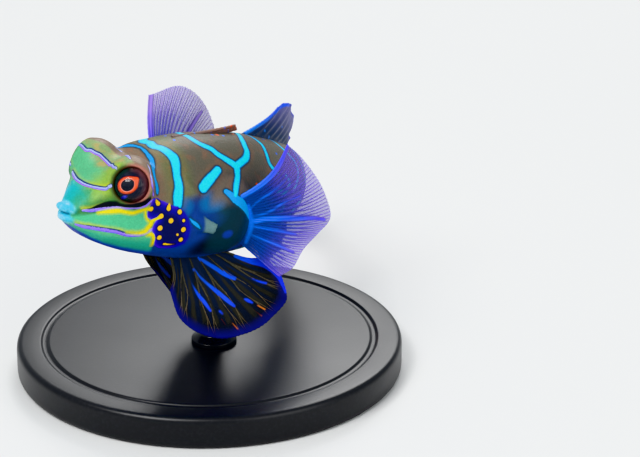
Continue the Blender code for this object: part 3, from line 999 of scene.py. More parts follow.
AZURE_BANDS = (
    (
        *((0, 10.3, 0.14), (7, 10.2, 0.16), (14, 10.1, 0.2), (22, 10.0, 0.26)),
        *((30, 9.4, 0.3), (36, 8.7, 0.34), (41, 8.4, 0.3), (45, 8.4, 0.26)),
        *((49, 8.7, 0.36), (52, 8.9, 0.32), (54, 9.0, 0.14)),
    ),
    ((81, 13.6, 0.08), (85, 14.0, 0.16), (88, 14.4, 0.2), (92, 14.9, 0.1)),
    ((64, 18.3, 0.3), (72, 19.3, 0.5), (79, 20.7, 0.6), (87, 21.8, 0.6), (96, 22.8, 0.5), (118, 23.1, 0.4)),
)
STRIPES = (
    (
        *((0, 11.6, 0.52), (7, 11.4, 0.55), (12, 11.9, 0.56), (18, 12.3, 0.62)),
        *((24, 12.6, 0.66), (29, 12.6, 0.6), (38, 12.3, 0.52), (44, 12.2, 0.5)),
        *((51, 12.2, 0.56), (58, 12.0, 0.66), (66, 11.9, 0.56)),
    ),
    (
        *((0, 16.4, 0.36), (11, 16.7, 0.38), (18, 17.3, 0.4), (23, 18.2, 0.4)),
        *((29, 18.8, 0.4), (34, 19.7, 0.42), (41, 20.9, 0.5), (46, 20.9, 0.46)),
        *((53, 20.6, 0.42), (62, 19.7, 0.38), (69, 19.3, 0.3)),
    ),
    (
        *((41, 20.9, 0.45), (38, 21.9, 0.45), (34, 23.0, 0.46), (28, 23.7, 0.44), (21, 24.0, 0.42)),
        *((13, 24.5, 0.38), (0, 25.6, 0.3)),
    ),
    ((43, 18.0, 0.5), (48, 17.0, 0.58), (52, 16.2, 0.64), (56, 15.5, 0.62)),
    ((0, 27.3, 0.2), (13, 27.6, 0.26), (20, 27.8, 0.3), (28, 27.5, 0.32), (41, 27.2, 0.28), (52, 28.4, 0.25)),
    ((0, 33.2, 0.25), (18, 33.0, 0.3), (33, 34.2, 0.34), (44, 35.2, 0.34), (62, 34.6, 0.34), (80, 32.4, 0.3)),
    ((0, 38.8, 0.25), (9, 39.4, 0.3), (24, 38.4, 0.34), (44, 38.6, 0.34), (66, 38.8, 0.32), (88, 40.4, 0.28)),
    ((0, 44.2, 0.25), (24, 43.8, 0.32), (46, 41.8, 0.34), (70, 43.4, 0.32), (98, 45.6, 0.28)),
    ((0, 49.2, 0.25), (30, 48.6, 0.3), (60, 46.8, 0.32), (88, 49.0, 0.3), (118, 48.6, 0.25)),
    ((18, 53.4, 0.25), (48, 51.8, 0.3), (80, 53.6, 0.3), (112, 52.4, 0.25)),
    ((56, 30.4, 0.28), (66, 31.2, 0.3), (76, 29.8, 0.3), (72, 27.6, 0.3)),
    ((104, 24.6, 0.3), (112, 26.4, 0.34), (106, 28.6, 0.34), (92, 29.6, 0.3)),
    ((138, 23.0, 0.3), (140, 27.0, 0.34), (130, 30.0, 0.34), (112, 32.6, 0.3), (104, 36.2, 0.28)),
    ((146, 33.0, 0.26), (136, 37.0, 0.3), (118, 39.6, 0.3), (112, 43.4, 0.25)),
)
FOREHEAD_LINES = (
    (
        *((-36, 5.0, 0.12), (-30, 4.9, 0.18), (-23, 4.8, 0.21), (-19, 5.1, 0.22), (-15, 5.4, 0.22)),
        *((-11, 5.8, 0.22), (-5, 6.0, 0.22), (2, 5.9, 0.22), (9, 5.6, 0.22), (22, 4.7, 0.2), (29, 4.5, 0.1)),
    ),
    (
        *((-56, 5.4, 0.18), (-52, 4.9, 0.22), (-46, 4.4, 0.24), (-39, 3.8, 0.24), (-23, 3.1, 0.23)),
        *((-8, 2.9, 0.23), (7, 2.9, 0.23), (20, 3.1, 0.22), (30, 3.5, 0.21), (37, 3.9, 0.18), (39, 4.2, 0.1)),
    ),
    ((-17, 8.5, 0.12), (-17, 8.9, 0.14), (-14, 9.0, 0.12)),
    ((15, 6.6, 0.14), (18, 6.45, 0.16), (22, 6.25, 0.16), (27, 6.0, 0.08)),
)
CHEEK_LINES = (
    ((33, 7.8, 0.06), (38, 7.8, 0.12), (44, 7.5, 0.13), (51, 7.6, 0.13), (56, 8.2, 0.13)),
    (
        *((50, 1.8, 0.1), (55, 2.4, 0.17), (57, 3.0, 0.18), (59, 3.8, 0.18)),
        *((60, 4.4, 0.18), (61, 4.8, 0.18), (63, 5.4, 0.18), (64, 6.2, 0.18)),
        *((64, 6.9, 0.18), (63, 7.5, 0.18), (60, 8.0, 0.19), (59, 8.4, 0.19)),
    ),
    (
        *((88, 1.4, 0.14), (91, 2.0, 0.2), (90, 2.6, 0.22), (89, 3.9, 0.23), (90, 4.8, 0.23)),
        *((93, 5.9, 0.23), (93, 6.8, 0.23), (92, 7.7, 0.22), (89, 8.4, 0.2), (86, 8.9, 0.14)),
    ),
)
YELLOW_BANDS = (
    (
        *((62, 3.0, 0.06), (63, 3.9, 0.2), (64, 4.8, 0.22), (66, 5.4, 0.18), (68, 6.2, 0.18)),
        *((67, 6.9, 0.19), (66, 7.7, 0.18), (66, 8.4, 0.28)),
    ),
    ((68, 7.7, 0.08), (74, 8.0, 0.1), (78, 8.3, 0.08)),
    (
        *((74, 9.8, 0.28), (76, 9.3, 0.18), (78, 8.7, 0.18), (81, 8.6, 0.2), (85, 8.3, 0.2)),
        *((89, 8.0, 0.18), (91, 7.1, 0.1), (90, 5.9, 0.03)),
    ),
    ((93, 8.4, 0.08), (92, 8.9, 0.2), (96, 9.2, 0.18), (101, 9.3, 0.16), (106, 9.3, 0.06)),
)
PATCH_DOTS = (
    *((73, 12.2, 0.29), (66, 8.4, 0.29), (74, 9.8, 0.28), (80, 11.1, 0.31), (82, 12.8, 0.19)),
    *((86, 9.8, 0.31), (91, 12.9, 0.29), (95, 12.2, 0.16), (96, 9.9, 0.28), (101, 12.8, 0.27)),
)
PATCH_DROPS = (
    ((59, 8.9, 0.1), (60.5, 9.1, 0.2), (62, 9.3, 0.27)),
    ((63, 10.8, 0.06), (65.5, 10.75, 0.18), (68, 10.7, 0.28)),
    ((104, 10.8, 0.16), (105, 11.5, 0.1), (105, 12.2, 0.04)),
)
BACK_SPOTS = (
    *((6, 14.4, 0.2), (5, 20.4, 0.22), (7, 22.0, 0.2)),
    *((9, 30.2, 0.22), (8, 36.2, 0.2), (30, 30.0, 0.2)),
)
RED_SPOTS = ((5, 21.2, 0.26), (4, 24.2, 0.2), (12, 30.2, 0.2), (20, 35.4, 0.2), (60, 23.8, 0.18))
MARKS = (
    *painted(Ink.CYAN, STRIPES),
    *painted(Ink.AZURE, AZURE_BANDS),
    *painted(Ink.VIOLET, FOREHEAD_LINES, mirrored=False),
    *painted(Ink.VIOLET, CHEEK_LINES),
    *painted(Ink.YELLOW, YELLOW_BANDS),
    *painted(Ink.DOT, tuple(zip(PATCH_DOTS))),
    *painted(Ink.DOT, PATCH_DROPS),
    *painted(Ink.BLUE_SPOT, tuple(zip(BACK_SPOTS))),
    *painted(Ink.RED_SPOT, tuple(zip(RED_SPOTS))),
)
PATCH_OUTLINE = (
    *((59, 8.3), (58, 9.2), (62, 10.2), (66, 11.1), (68, 11.9), (74, 12.8), (82, 13.4), (91, 13.7)),
    *((99, 13.7), (106, 13.4), (109, 12.6), (110, 11.4), (109, 10.4), (105, 9.6), (97, 9.2), (89, 8.9)),
    *((83, 8.9), (78, 9.2), (77, 8.6), (74, 8.1), (69, 8.0), (65, 8.1)),
)
WEDGE_OUTLINE = (
    *((50, 1.8), (51, 2.4), (50, 2.9), (50, 3.5), (51, 3.9), (54, 4.4), (57, 4.7), (59, 5.1)),
    *((60, 5.7), (60, 6.5), (59, 6.9), (58, 7.2), (57, 7.8), (60, 8.0), (63, 7.5), (64, 6.9)),
    *((65, 6.3), (63, 5.4), (62, 5.0), (60, 4.4), (60, 3.8), (58, 3.0), (56, 2.4)),
)
FACE_REACH = (
    *((0, 8.4), (10, 7.6), (24, 6.1), (36, 6.0), (50, 7.4), (60, 7.9), (78, 8.4), (95, 9.0)),
    *((108, 9.5), (125, 10.2), (180, 11.5)),
)


def nearest(points: Array, samples: Array, widths: Array, reach: float = 2.5) -> tuple[Array, Array]:
    """Measures points against a painted line.

    Args:
        points: Points to measure, one row each.
        samples: Close samples of the line.
        widths: Half widths there.
        reach: How far off the line still counts.

    Returns:
        Signed distances, and how far behind and above the line each point is.
    """
    gap = np.full(len(points), reach)
    lean = np.zeros(len(points))
    near = np.all((points > samples.min(0) - reach) & (points < samples.max(0) + reach), axis=1)
    rest = points[near]
    best = np.full(len(rest), reach)
    side = np.zeros(len(rest))
    for sample, width in zip(samples, widths):
        off = rest - sample
        distance = np.linalg.norm(off, axis=1) - width
        closer = distance < best
        best = np.where(closer, distance, best)
        side = np.where(closer, (off[:, 1] + off[:, 2]) / math.sqrt(2), side)
    gap[near] = best
    lean[near] = side
    return gap, lean


@dataclass(frozen=True)
class Markings:
    """Measures the skin against every mark on it."""

    shape: BodyShape
    marks: tuple[Mark, ...] = MARKS
    patch: Profile = PATCH_OUTLINE
    wedge: Profile = WEDGE_OUTLINE
    face: Profile = FACE_REACH
    sample_step: float = 0.1
    degree: float = 0.12
    orbit_reach: float = -0.5

    def measure(self, points: Array) -> dict[str, Array]:
        """Reads every attribute of the skin.

        Args:
            points: Straight points of the skin.

        Returns:
            Values by attribute name.
        """
        values = {ink.value: np.full(len(points), FAR_OFF) for ink in Ink}
        lean = np.zeros(len(points))
        for mark in self.marks:
            for side in Side:
                if side is Side.LEFT or mark.mirrored:
                    gap, off = nearest(points, *self.samples(mark, side))
                    closer = gap < values[mark.ink.value]
                    values[mark.ink.value] = np.where(closer, gap, values[mark.ink.value])
                    if mark.ink is Ink.VIOLET:
                        lean = np.where(closer, off, lean)
        height = points[:, 2] - curve(self.shape.axis_height, points[:, 1])
        turn = np.degrees(np.arctan2(np.abs(points[:, 0]), height))
        flat = np.stack([turn * self.degree, points[:, 1]], axis=1)
        for name, outline in (("patch", self.patch), ("wedge", self.wedge)):
            corners = np.array(outline, float) * (self.degree, 1)
            values[name] = outline_gap(flat, corners)
        values["lean"] = lean
        values["turn"] = turn
        values["face"] = curve(self.face, turn) - points[:, 1]
        lips = [ball(points, *lip) for lip in (self.shape.upper_lip, self.shape.lower_lip)]
        values["lips"] = np.minimum(*lips)
        values["orbit"], values["front"] = self.orbits(points)
        left = np.abs(points[:, :1]) * (1, 0, 0) + points * (0, 1, 1)
        values["flap"] = self.shape.flap(left)
        values["lobe"] = ball(left, self.shape.lobe_centre, self.shape.lobe_radii)
        return values

    def samples(self, mark: Mark, side: Side) -> tuple[Array, Array]:
        """Samples a mark on the skin.

        Args:
            mark: The mark.
            side: Left for the mark as it stands, right for its mirror image.

        Returns:
            Straight points and half widths.
        """
        knots = np.array(mark.path, float)
        length = np.hypot(np.diff(knots[:, 0]) * self.degree, np.diff(knots[:, 1])).sum()
        path = spline(mark.path, 2 + int(length / self.sample_step))
        points = self.shape.at_turn(path[:, 0], path[:, 1])
        return points * (side.value, 1, 1), path[:, 2]

    def orbits(self, points: Array) -> tuple[Array, Array]:
        """Measures points against the openings of the eyes.

        Args:
            points: Straight points.

        Returns:
            Distances outside the openings, and how far each point is in front of the eye's axis.
        """
        orbit = np.full(len(points), FAR_OFF)
        front = np.zeros(len(points))
        for side in Side:
            rest = points - np.array(self.shape.dome_centre) * (side.value, 1, 1)
            axis = unit(EYE_AXIS[side])
            forward = rest @ axis
            off = np.linalg.norm(rest - forward[:, None] * axis, axis=1)
            gap = np.where(forward > self.orbit_reach, off - OPENING[1], FAR_OFF)
            front = np.where(gap < orbit, -rest[:, 1], front)
            orbit = np.minimum(orbit, gap)
        return orbit, front


OPENING = (1.473, 2.03)
SOCKET_RADIUS = 2.23
EYE_FORWARD = 0.55


def revolve(profile: Profile, segments: int) -> tuple[Array, list[tuple[int, ...]]]:
    """Turns a profile about +Z, closed where it touches the axis.

    Args:
        profile: Heights and radii from the lower end to the upper.
        segments: Sides around.

    Returns:
        The points and the faces, which point outwards.
    """
    angles = np.linspace(0, 2 * math.pi, segments, endpoint=False)
    points = []
    rings = []
    for height, radius in profile:
        first = len(points)
        if radius < TINY:
            points.append((0.0, 0.0, height))
            rings.append([first] * segments)
        else:
            points.extend((radius * math.cos(a), radius * math.sin(a), height) for a in angles)
            rings.append(list(range(first, first + segments)))
    faces = []
    for low, high in zip(rings, rings[1:]):
        for i in range(segments):
            k = (i + 1) % segments
            corners = dict.fromkeys((low[i], low[k], high[k], high[i]))
            if len(corners) > 2:
                faces.append(tuple(corners))
    return np.array(points), faces


def arc(centre: float, radius: float, low: float, high: float, count: int) -> Profile:
    """Samples a circle about the axis as a profile.

    Args:
        centre: Height of its centre.
        radius: Its radius.
        low: First angle in degrees, from -90 at the lower pole.
        high: Last angle in degrees, up to 90 at the upper pole.
        count: Number of samples.

    Returns:
        Heights and radii.
    """
    angles = np.radians(np.linspace(low, high, count))
    return tuple((centre + radius * math.sin(a), abs(radius * math.cos(a))) for a in angles)


def eye_frame(side: Side) -> Array:
    """Gives the directions of an eye: towards the tail, upwards and out along its axis.

    Args:
        side: Which eye.

    Returns:
        A matrix with one direction in each row.
    """
    axis = unit(EYE_AXIS[side])
    back = np.array((0.0, 1.0, 0.0))
    back = unit(back - (back @ axis) * axis)
    up = np.cross(axis, back)
    return np.array((back, up if up[2] > 0 else -up, axis))


def add_mesh(
    name: str, points: Array, faces: Sequence[Sequence[int]], edges: Sequence[Sequence[int]] = ()
) -> bpy.types.Object:
    """Makes a smooth mesh object.

    Args:
        name: Its name.
        points: Its points.
        faces: Its faces.
        edges: Its loose edges.

    Returns:
        The object.
    """
    mesh = bpy.data.meshes.new(name)
    mesh.from_pydata(np.asarray(points, float).tolist(), list(edges), list(faces))
    mesh.shade_smooth()
    piece = bpy.data.objects.new(name, mesh)
    bpy.context.scene.collection.objects.link(piece)
    return piece


def read_points(piece: bpy.types.Object) -> Array:
    """Reads the points of a mesh.

    Args:
        piece: The object.

    Returns:
        Its points, one row each.
    """
    flat = np.empty(len(piece.data.vertices) * 3, np.float32)
    piece.data.vertices.foreach_get("co", flat)
    return flat.reshape(-1, 3).astype(float)


def write_points(piece: bpy.types.Object, points: Array) -> None:
    """Moves the points of a mesh.

    Args:
        piece: The object.
        points: The new points, one row each.
    """
    piece.data.vertices.foreach_set("co", points.astype(np.float32).ravel())
    piece.data.update()


def add_values(piece: bpy.types.Object, values: dict[str, Array]) -> None:
    """Keeps numbers or places on the points of a mesh.

    Args:
        piece: The object.
        values: The values by attribute name.
    """
    for name, array in values.items():
        is_place = array.ndim == 2
        kind = "FLOAT_VECTOR" if is_place else "FLOAT"
        layer = piece.data.attributes.new(name, kind, "POINT")
        layer.data.foreach_set("vector" if is_place else "value", array.astype(np.float32).ravel())


def settle(piece: bpy.types.Object) -> None:
    """Makes a piece's modifiers part of its mesh.

    Args:
        piece: The object.
    """
    bpy.context.view_layer.update()
    graph = bpy.context.evaluated_depsgraph_get()
    mesh = bpy.data.meshes.new_from_object(piece.evaluated_get(graph))
    piece.modifiers.clear()
    piece.data = mesh


def hand_over(piece: bpy.types.Object, material: bpy.types.Material, slot: str, *nodes: str) -> None:
    """Dresses a piece and puts it in the place of its nodes.

    Args:
        piece: The object.
        material: What it is made of.
        slot: The record's slot; not used.
        nodes: The nodes that it stands for.
    """
    piece.data.materials.clear()
    piece.data.materials.append(material)
    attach(piece, BODY)
    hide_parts(*nodes)
    LOG.info("%s: %d faces", piece.name, len(piece.data.polygons))


@dataclass(frozen=True)
class Skin:
    """One skin over head, trunk and tail, opened for the eyes."""

    shape: BodyShape
    curl: Curl
    finish: SkinFinish
    columns: int = 324
    fan_rows: int = 92
    fan_station: float = 8.0
    fine_step: float = 0.15
    fine_end: float = 24.0
    rear_rows: int = 80
    rear_end: float = 58.0
    rear_crowding: float = 1.15
    socket_segments: int = 96
    socket_rows: int = 40
    socket_mouth: Profile = ((1.7, 2.1), (2.2, 2.4), (3.4, 2.6), (3.4, 0.0))

    def build(self) -> None:
        """Makes the skin, opens the sockets, measures its marks and curls it."""
        points, faces = self.grid()
        skin = add_mesh("skin", points, faces)
        tools = [self.socket(side) for side in Side]
        for tool in tools:
            cut = skin.modifiers.new("socket", "BOOLEAN")
            cut.operation = "DIFFERENCE"
            cut.object = tool
            cut.solver = "MANIFOLD"
        settle(skin)
        for tool in tools:
            bpy.data.objects.remove(tool, do_unlink=True)
        skin.data.shade_smooth()
        points = read_points(skin)
        values = Markings(self.shape).measure(points)
        add_values(skin, {**values, "place": points})
        write_points(skin, self.curl.bend(points))
        hand_over(skin, self.finish.material(), "skin", "head", "trunk", "tail")

    def grid(self) -> tuple[Array, list[tuple[int, ...]]]:
        """Traces the skin on rings that fan out over the face and then stand square.

        Returns:
            The points and the faces.
        """
        tilts = np.linspace(0, 90, self.fan_rows + 1)[1:]
        fine = np.arange(self.fan_station + self.fine_step, self.fine_end, self.fine_step)
        share = np.linspace(0, 1, self.rear_rows + 1)[1:] ** self.rear_crowding
        rear = fine[-1] + (self.rear_end - fine[-1]) * share
        stations = np.concatenate([np.full(self.fan_rows, self.fan_station), fine, rear])
        tilts = np.radians(np.concatenate([tilts, np.full(len(fine) + len(rear), 90.0)]))[:, None]
        turns = np.linspace(0, 2 * math.pi, self.columns, endpoint=False)[None, :]
        flat = np.ones_like(turns)
        way = [np.sin(tilts) * np.sin(turns), -np.cos(tilts) * flat, np.sin(tilts) * np.cos(turns)]
        way = np.stack(way, axis=-1)
        centre = np.zeros(way.shape)
        centre[..., 1] = stations[:, None]
        centre[..., 2] = curve(self.shape.axis_height, centre[..., 1])
        split = int(np.searchsorted(stations, self.shape.head_reach)) + 1
        front = self.shape.trace(centre[:split], way[:split])
        back = self.shape.trace(centre[split:], way[split:])
        rings = np.concatenate([front, back])
        first = self.shape.trace(centre[:1, 0], np.array([[0.0, -1.0, 0.0]]))
        points = np.vstack([first, rings.reshape(-1, 3), rings[-1].mean(axis=0)])
        return points, self.faces(len(rings))

    def faces(self, rows: int) -> list[tuple[int, ...]]:
        """Joins the rings and closes both ends.

        Args:
            rows: Number of rings.

        Returns:
            The faces.
        """
        last = rows * self.columns + 1
        faces = []
        for i in range(self.columns):
            k = (i + 1) % self.columns
            faces.append((0, 1 + k, 1 + i))
            faces.append((last, last - self.columns + i, last - self.columns + k))
            for row in range(rows - 1):
                a = 1 + row * self.columns
                b = a + self.columns
                faces.append((a + i, a + k, b + k, b + i))
        return faces

    def socket(self, side: Side) -> bpy.types.Object:
        """Makes the tool that opens one socket.

        Args:
            side: Which eye.

        Returns:
            The tool.
        """
        reach = math.degrees(math.asin((OPENING[0] - EYE_FORWARD) / SOCKET_RADIUS))
        bowl = arc(EYE_FORWARD, SOCKET_RADIUS, -90, reach, self.socket_rows)
        points, faces = revolve((*bowl, *self.socket_mouth), self.socket_segments)
        frame_rows = turned(unit(EYE_AXIS[side]))
        centre = np.array(self.shape.dome_centre) * (side.value, 1, 1)
        return add_mesh("socket", points @ frame_rows + centre, faces)


def turned(axis: Array) -> Array:
    """Gives a right-handed frame whose third direction is an axis.

    Args:
        axis: Unit direction.

    Returns:
        A matrix with one direction in each row.
    """
    first = unit(np.cross((0.0, 0.0, 1.0), axis))
    return np.array((first, np.cross(axis, first), axis))


@dataclass(frozen=True)
class EyeFinish:
    """Iris, pupil and dark outer eye under a clear cornea."""

    navy: Colour = paint(4, 14, 36)
    dusk: Colour = paint(112, 76, 80)
    # Olive on the front edge of the eyeball: a painted sheen.
    moss: Colour = paint(36, 60, 50)
    rust: Colour = paint(164, 42, 20)
    orange: Colour = paint(222, 92, 42)
    blush: Colour = paint(240, 160, 146)
    pupil: Colour = paint(2, 10, 26)
    fleck: Colour = paint(52, 52, 200)
    ring: tuple[float, float] = (1.24, 0.99)
    ring_centre: tuple[float, float] = (-0.24, 0.0)
    pupil_size: tuple[float, float] = (0.8, 0.68)
    tilt: float = 16.0
    corner: float = 16.0
    corner_reach: float = 0.22
    corner_width: float = 16.0
    pupil_corner: float = 0.25
    cloud_scale: float = 2.2
    grain_scale: float = 9.0
    grain_depth: float = 0.03
    fleck_place: tuple[float, float] = (-1.2, -1.12)
    fleck_size: tuple[float, float] = (0.44, 0.17)
    cornea_bend: float = 1.34

    def iris(self) -> bpy.types.Material:
        """Builds the eyeball's material.

        Returns:
            The material.
        """
        tree = Surface("iris")
        ring = tree.attribute("ring")
        pupil = tree.attribute("pupil")
        place = tree.attribute("place", "Vector")
        cloud = tree.noise(place, self.cloud_scale)
        fine = tree.noise(place, self.grain_scale)
        rays = tree.layers(
            self.orange,
            (fine.rise(0.3, 0.7) * 0.6, self.rust),
            (ring.rise(-0.16, 0.0) * 0.8, self.rust),
            (pupil.rise(0.1, 0.02) * 0.5, self.blush),
        )
        # Outer eyeball: painted olive sheen at the front, dusky pink behind.
        rim = tree.mix(tree.attribute("back").rise(-0.6, 1.0), self.moss, self.dusk)
        base = tree.layers(
            self.navy,
            ((tree.attribute("radius") + cloud * 0.3).rise(1.4, 2.2), rim),
            ((ring + cloud * 0.06).rise(0.06, -0.02), rays),
            (tree.attribute("fleck").rise(0.08, -0.08) * 0.9, self.fleck),
            (pupil.rise(0.03, -0.02), self.pupil),
        )
        normal = tree.bump(fine, self.grain_depth)
        return tree.dress(base_color=base, roughness=0.4, normal=normal, specular_ior_level=0.2)

    def cornea(self) -> bpy.types.Material:
        """Builds the cornea's material.

        Returns:
            The material.
        """
        tree = Surface("cornea")
        place = tree.node("ShaderNodeTexCoord", {}, {}, "Object")
        film = tree.noise(place, 600.0, 2.0)
        return tree.dress(
            base_color=(1.0, 1.0, 1.0),
            transmission_weight=1.0,
            ior=self.cornea_bend,
            roughness=film * 0.015,
        )


@dataclass(frozen=True)
class Eye:
    """Eyeball with a raised iris ring, under its cornea."""

    side: Side
    shape: BodyShape
    curl: Curl
    finish: EyeFinish
    ball_radius: float = 2.08
    cornea_radius: float = 2.2
    ring_height: float = 0.07
    pupil_depth: float = 0.08
    ring_edge: tuple[float, float] = (0.08, -0.12)
    pupil_edge: tuple[float, float] = (0.06, -0.05)
    rings: int = 90
    segments: int = 128

    def build(self) -> None:
        """Makes the eyeball and the cornea."""
        name = self.side.name.lower()
        frame_rows = eye_frame(self.side)
        centre = np.array(self.shape.dome_centre) * (self.side.value, 1, 1) + frame_rows[2] * EYE_FORWARD
        points, faces = revolve(arc(0.0, 1.0, -90, 90, self.rings), self.segments)
        if np.linalg.det(frame_rows) < 0:
            faces = [face[::-1] for face in faces]
        x, y = points[:, 0] * self.ball_radius, points[:, 1] * self.ball_radius
        gaps = self.gaps(x, y, points[:, 2])
        relief = self.ring_height * ease(gaps["ring"], *self.ring_edge)
        relief = relief - self.pupil_depth * ease(gaps["pupil"], *self.pupil_edge)
        straight = (points * (self.ball_radius + relief)[:, None]) @ frame_rows + centre
        eyeball = add_mesh(f"eyeball_{name}", straight, faces)
        add_values(eyeball, {**gaps, "place": straight})
        write_points(eyeball, self.curl.bend(straight))
        hand_over(eyeball, self.finish.iris(), "eye", f"eye_{name}")
        straight = points * self.cornea_radius @ frame_rows + centre
        cornea = add_mesh(f"cornea_{name}", self.curl.bend(straight), faces)
        cornea.visible_shadow = False
        hand_over(cornea, self.finish.cornea(), "cornea", f"eye_{name}")

    def gaps(self, x: Array, y: Array, forward: Array) -> dict[str, Array]:
        """Measures the eyeball against the iris ring, the pupil and the fleck.

        Args:
            x: Millimetres towards the tail.
            y: Millimetres upwards.
            forward: Share forwards, negative at the back of the eye.

        Returns:
            Signed distances by name.
        """
        finish = self.finish
        gaps = {"radius": np.hypot(x, y), "back": x}
        x, y = x - finish.ring_centre[0], y - finish.ring_centre[1]
        tilt = math.radians(finish.tilt)
        x, y = x * math.cos(tilt) + y * math.sin(tilt), y * math.cos(tilt) - x * math.sin(tilt)
        turn = np.degrees(np.arctan2(y, x)) - finish.corner
        corner = finish.corner_reach * np.exp(-((turn / finish.corner_width) ** 2))
        fleck_x = x - finish.fleck_place[0] + finish.ring_centre[0]
        ovals = {
            "ring": oval(x, y, finish.ring) - corner,
            "pupil": oval(x, y, finish.pupil_size) - corner * finish.pupil_corner,
            "fleck": oval(fleck_x, y - finish.fleck_place[1], finish.fleck_size),
        }
        return {**gaps, **{name: np.where(forward < 0, FAR_OFF, gap) for name, gap in ovals.items()}}


@dataclass(frozen=True)
class FinFinish:
    """Membrane and rays of one fin."""

    name: str
    root: Colour
    tip: Colour
    ray: Colour
    ray_tip: Colour
    margin: Colour
    streak: Colour
    streak_tip: Colour
    fleck: Colour = paint(226, 128, 52)
    bar: Colour = paint(48, 47, 38)
    bars: float = 0.0
    margin_width: float = 0.5
    streak_blur: float = 0.07
    cover: tuple[float, float] = (0.85, 0.85)
    cloud_scale: float = 0.7
    grain_scale: float = 4.0
    grain_depth: float = 0.02
    roughness: float = 0.42
    shine: float = 0.2

    def material(self) -> bpy.types.Material:
        """Builds the material.

        Returns:
            The fin's material.
        """
        tree = Surface(f"{self.name}_skin")
        place = tree.attribute("place", "Vector")
        out = tree.attribute("out")
        ray = tree.attribute("ray")
        cloud = tree.noise(place, self.cloud_scale)
        fine = tree.noise(place, self.grain_scale)
        wobble = (cloud - 0.5) * 0.3
        far = (out + wobble).rise(0.1, 0.95)
        base = tree.mix(far, self.root, self.tip)
        if self.bars:
            waves = (tree.attribute("across") + wobble * 0.06) * (self.bars * 2 * math.pi)
            window = (out + wobble).rise(0.12, 0.3) * (out + wobble).rise(0.92, 0.74)
            bars = tree.maths("SINE", waves, 0.0).rise(-0.5, 0.7) * window
            base = tree.mix(bars * (fine * 0.5 + 0.6), base, self.bar)
        edge = tree.attribute("edge") + wobble * 1.5
        streak = tree.attribute("streak")
        fleck = tree.attribute("fleck")
        base = tree.layers(
            base,
            (ray * (fine.rise(0.2, 0.7) * 0.35 + 0.6), tree.mix(far, self.ray, self.ray_tip)),
            (edge.rise(self.margin_width, self.margin_width * 0.1), self.margin),
            (
                (streak + wobble * 0.4).rise(self.streak_blur, -self.streak_blur),
                tree.mix(far, self.streak, self.streak_tip),
            ),
            ((fleck + wobble * 0.3).rise(0.06, -0.06), self.fleck),
        )
        mark = streak.least(fleck).rise(0.2, 0.0)
        cover = out * (self.cover[1] - self.cover[0]) + self.cover[0]
        return tree.dress(
            base_color=base,
            roughness=self.roughness,
            normal=tree.bump(fine, self.grain_depth),
            alpha=(ray.most(mark) * (1 - cover) + cover).least(1.0),
            specular_ior_level=self.shine,
        )


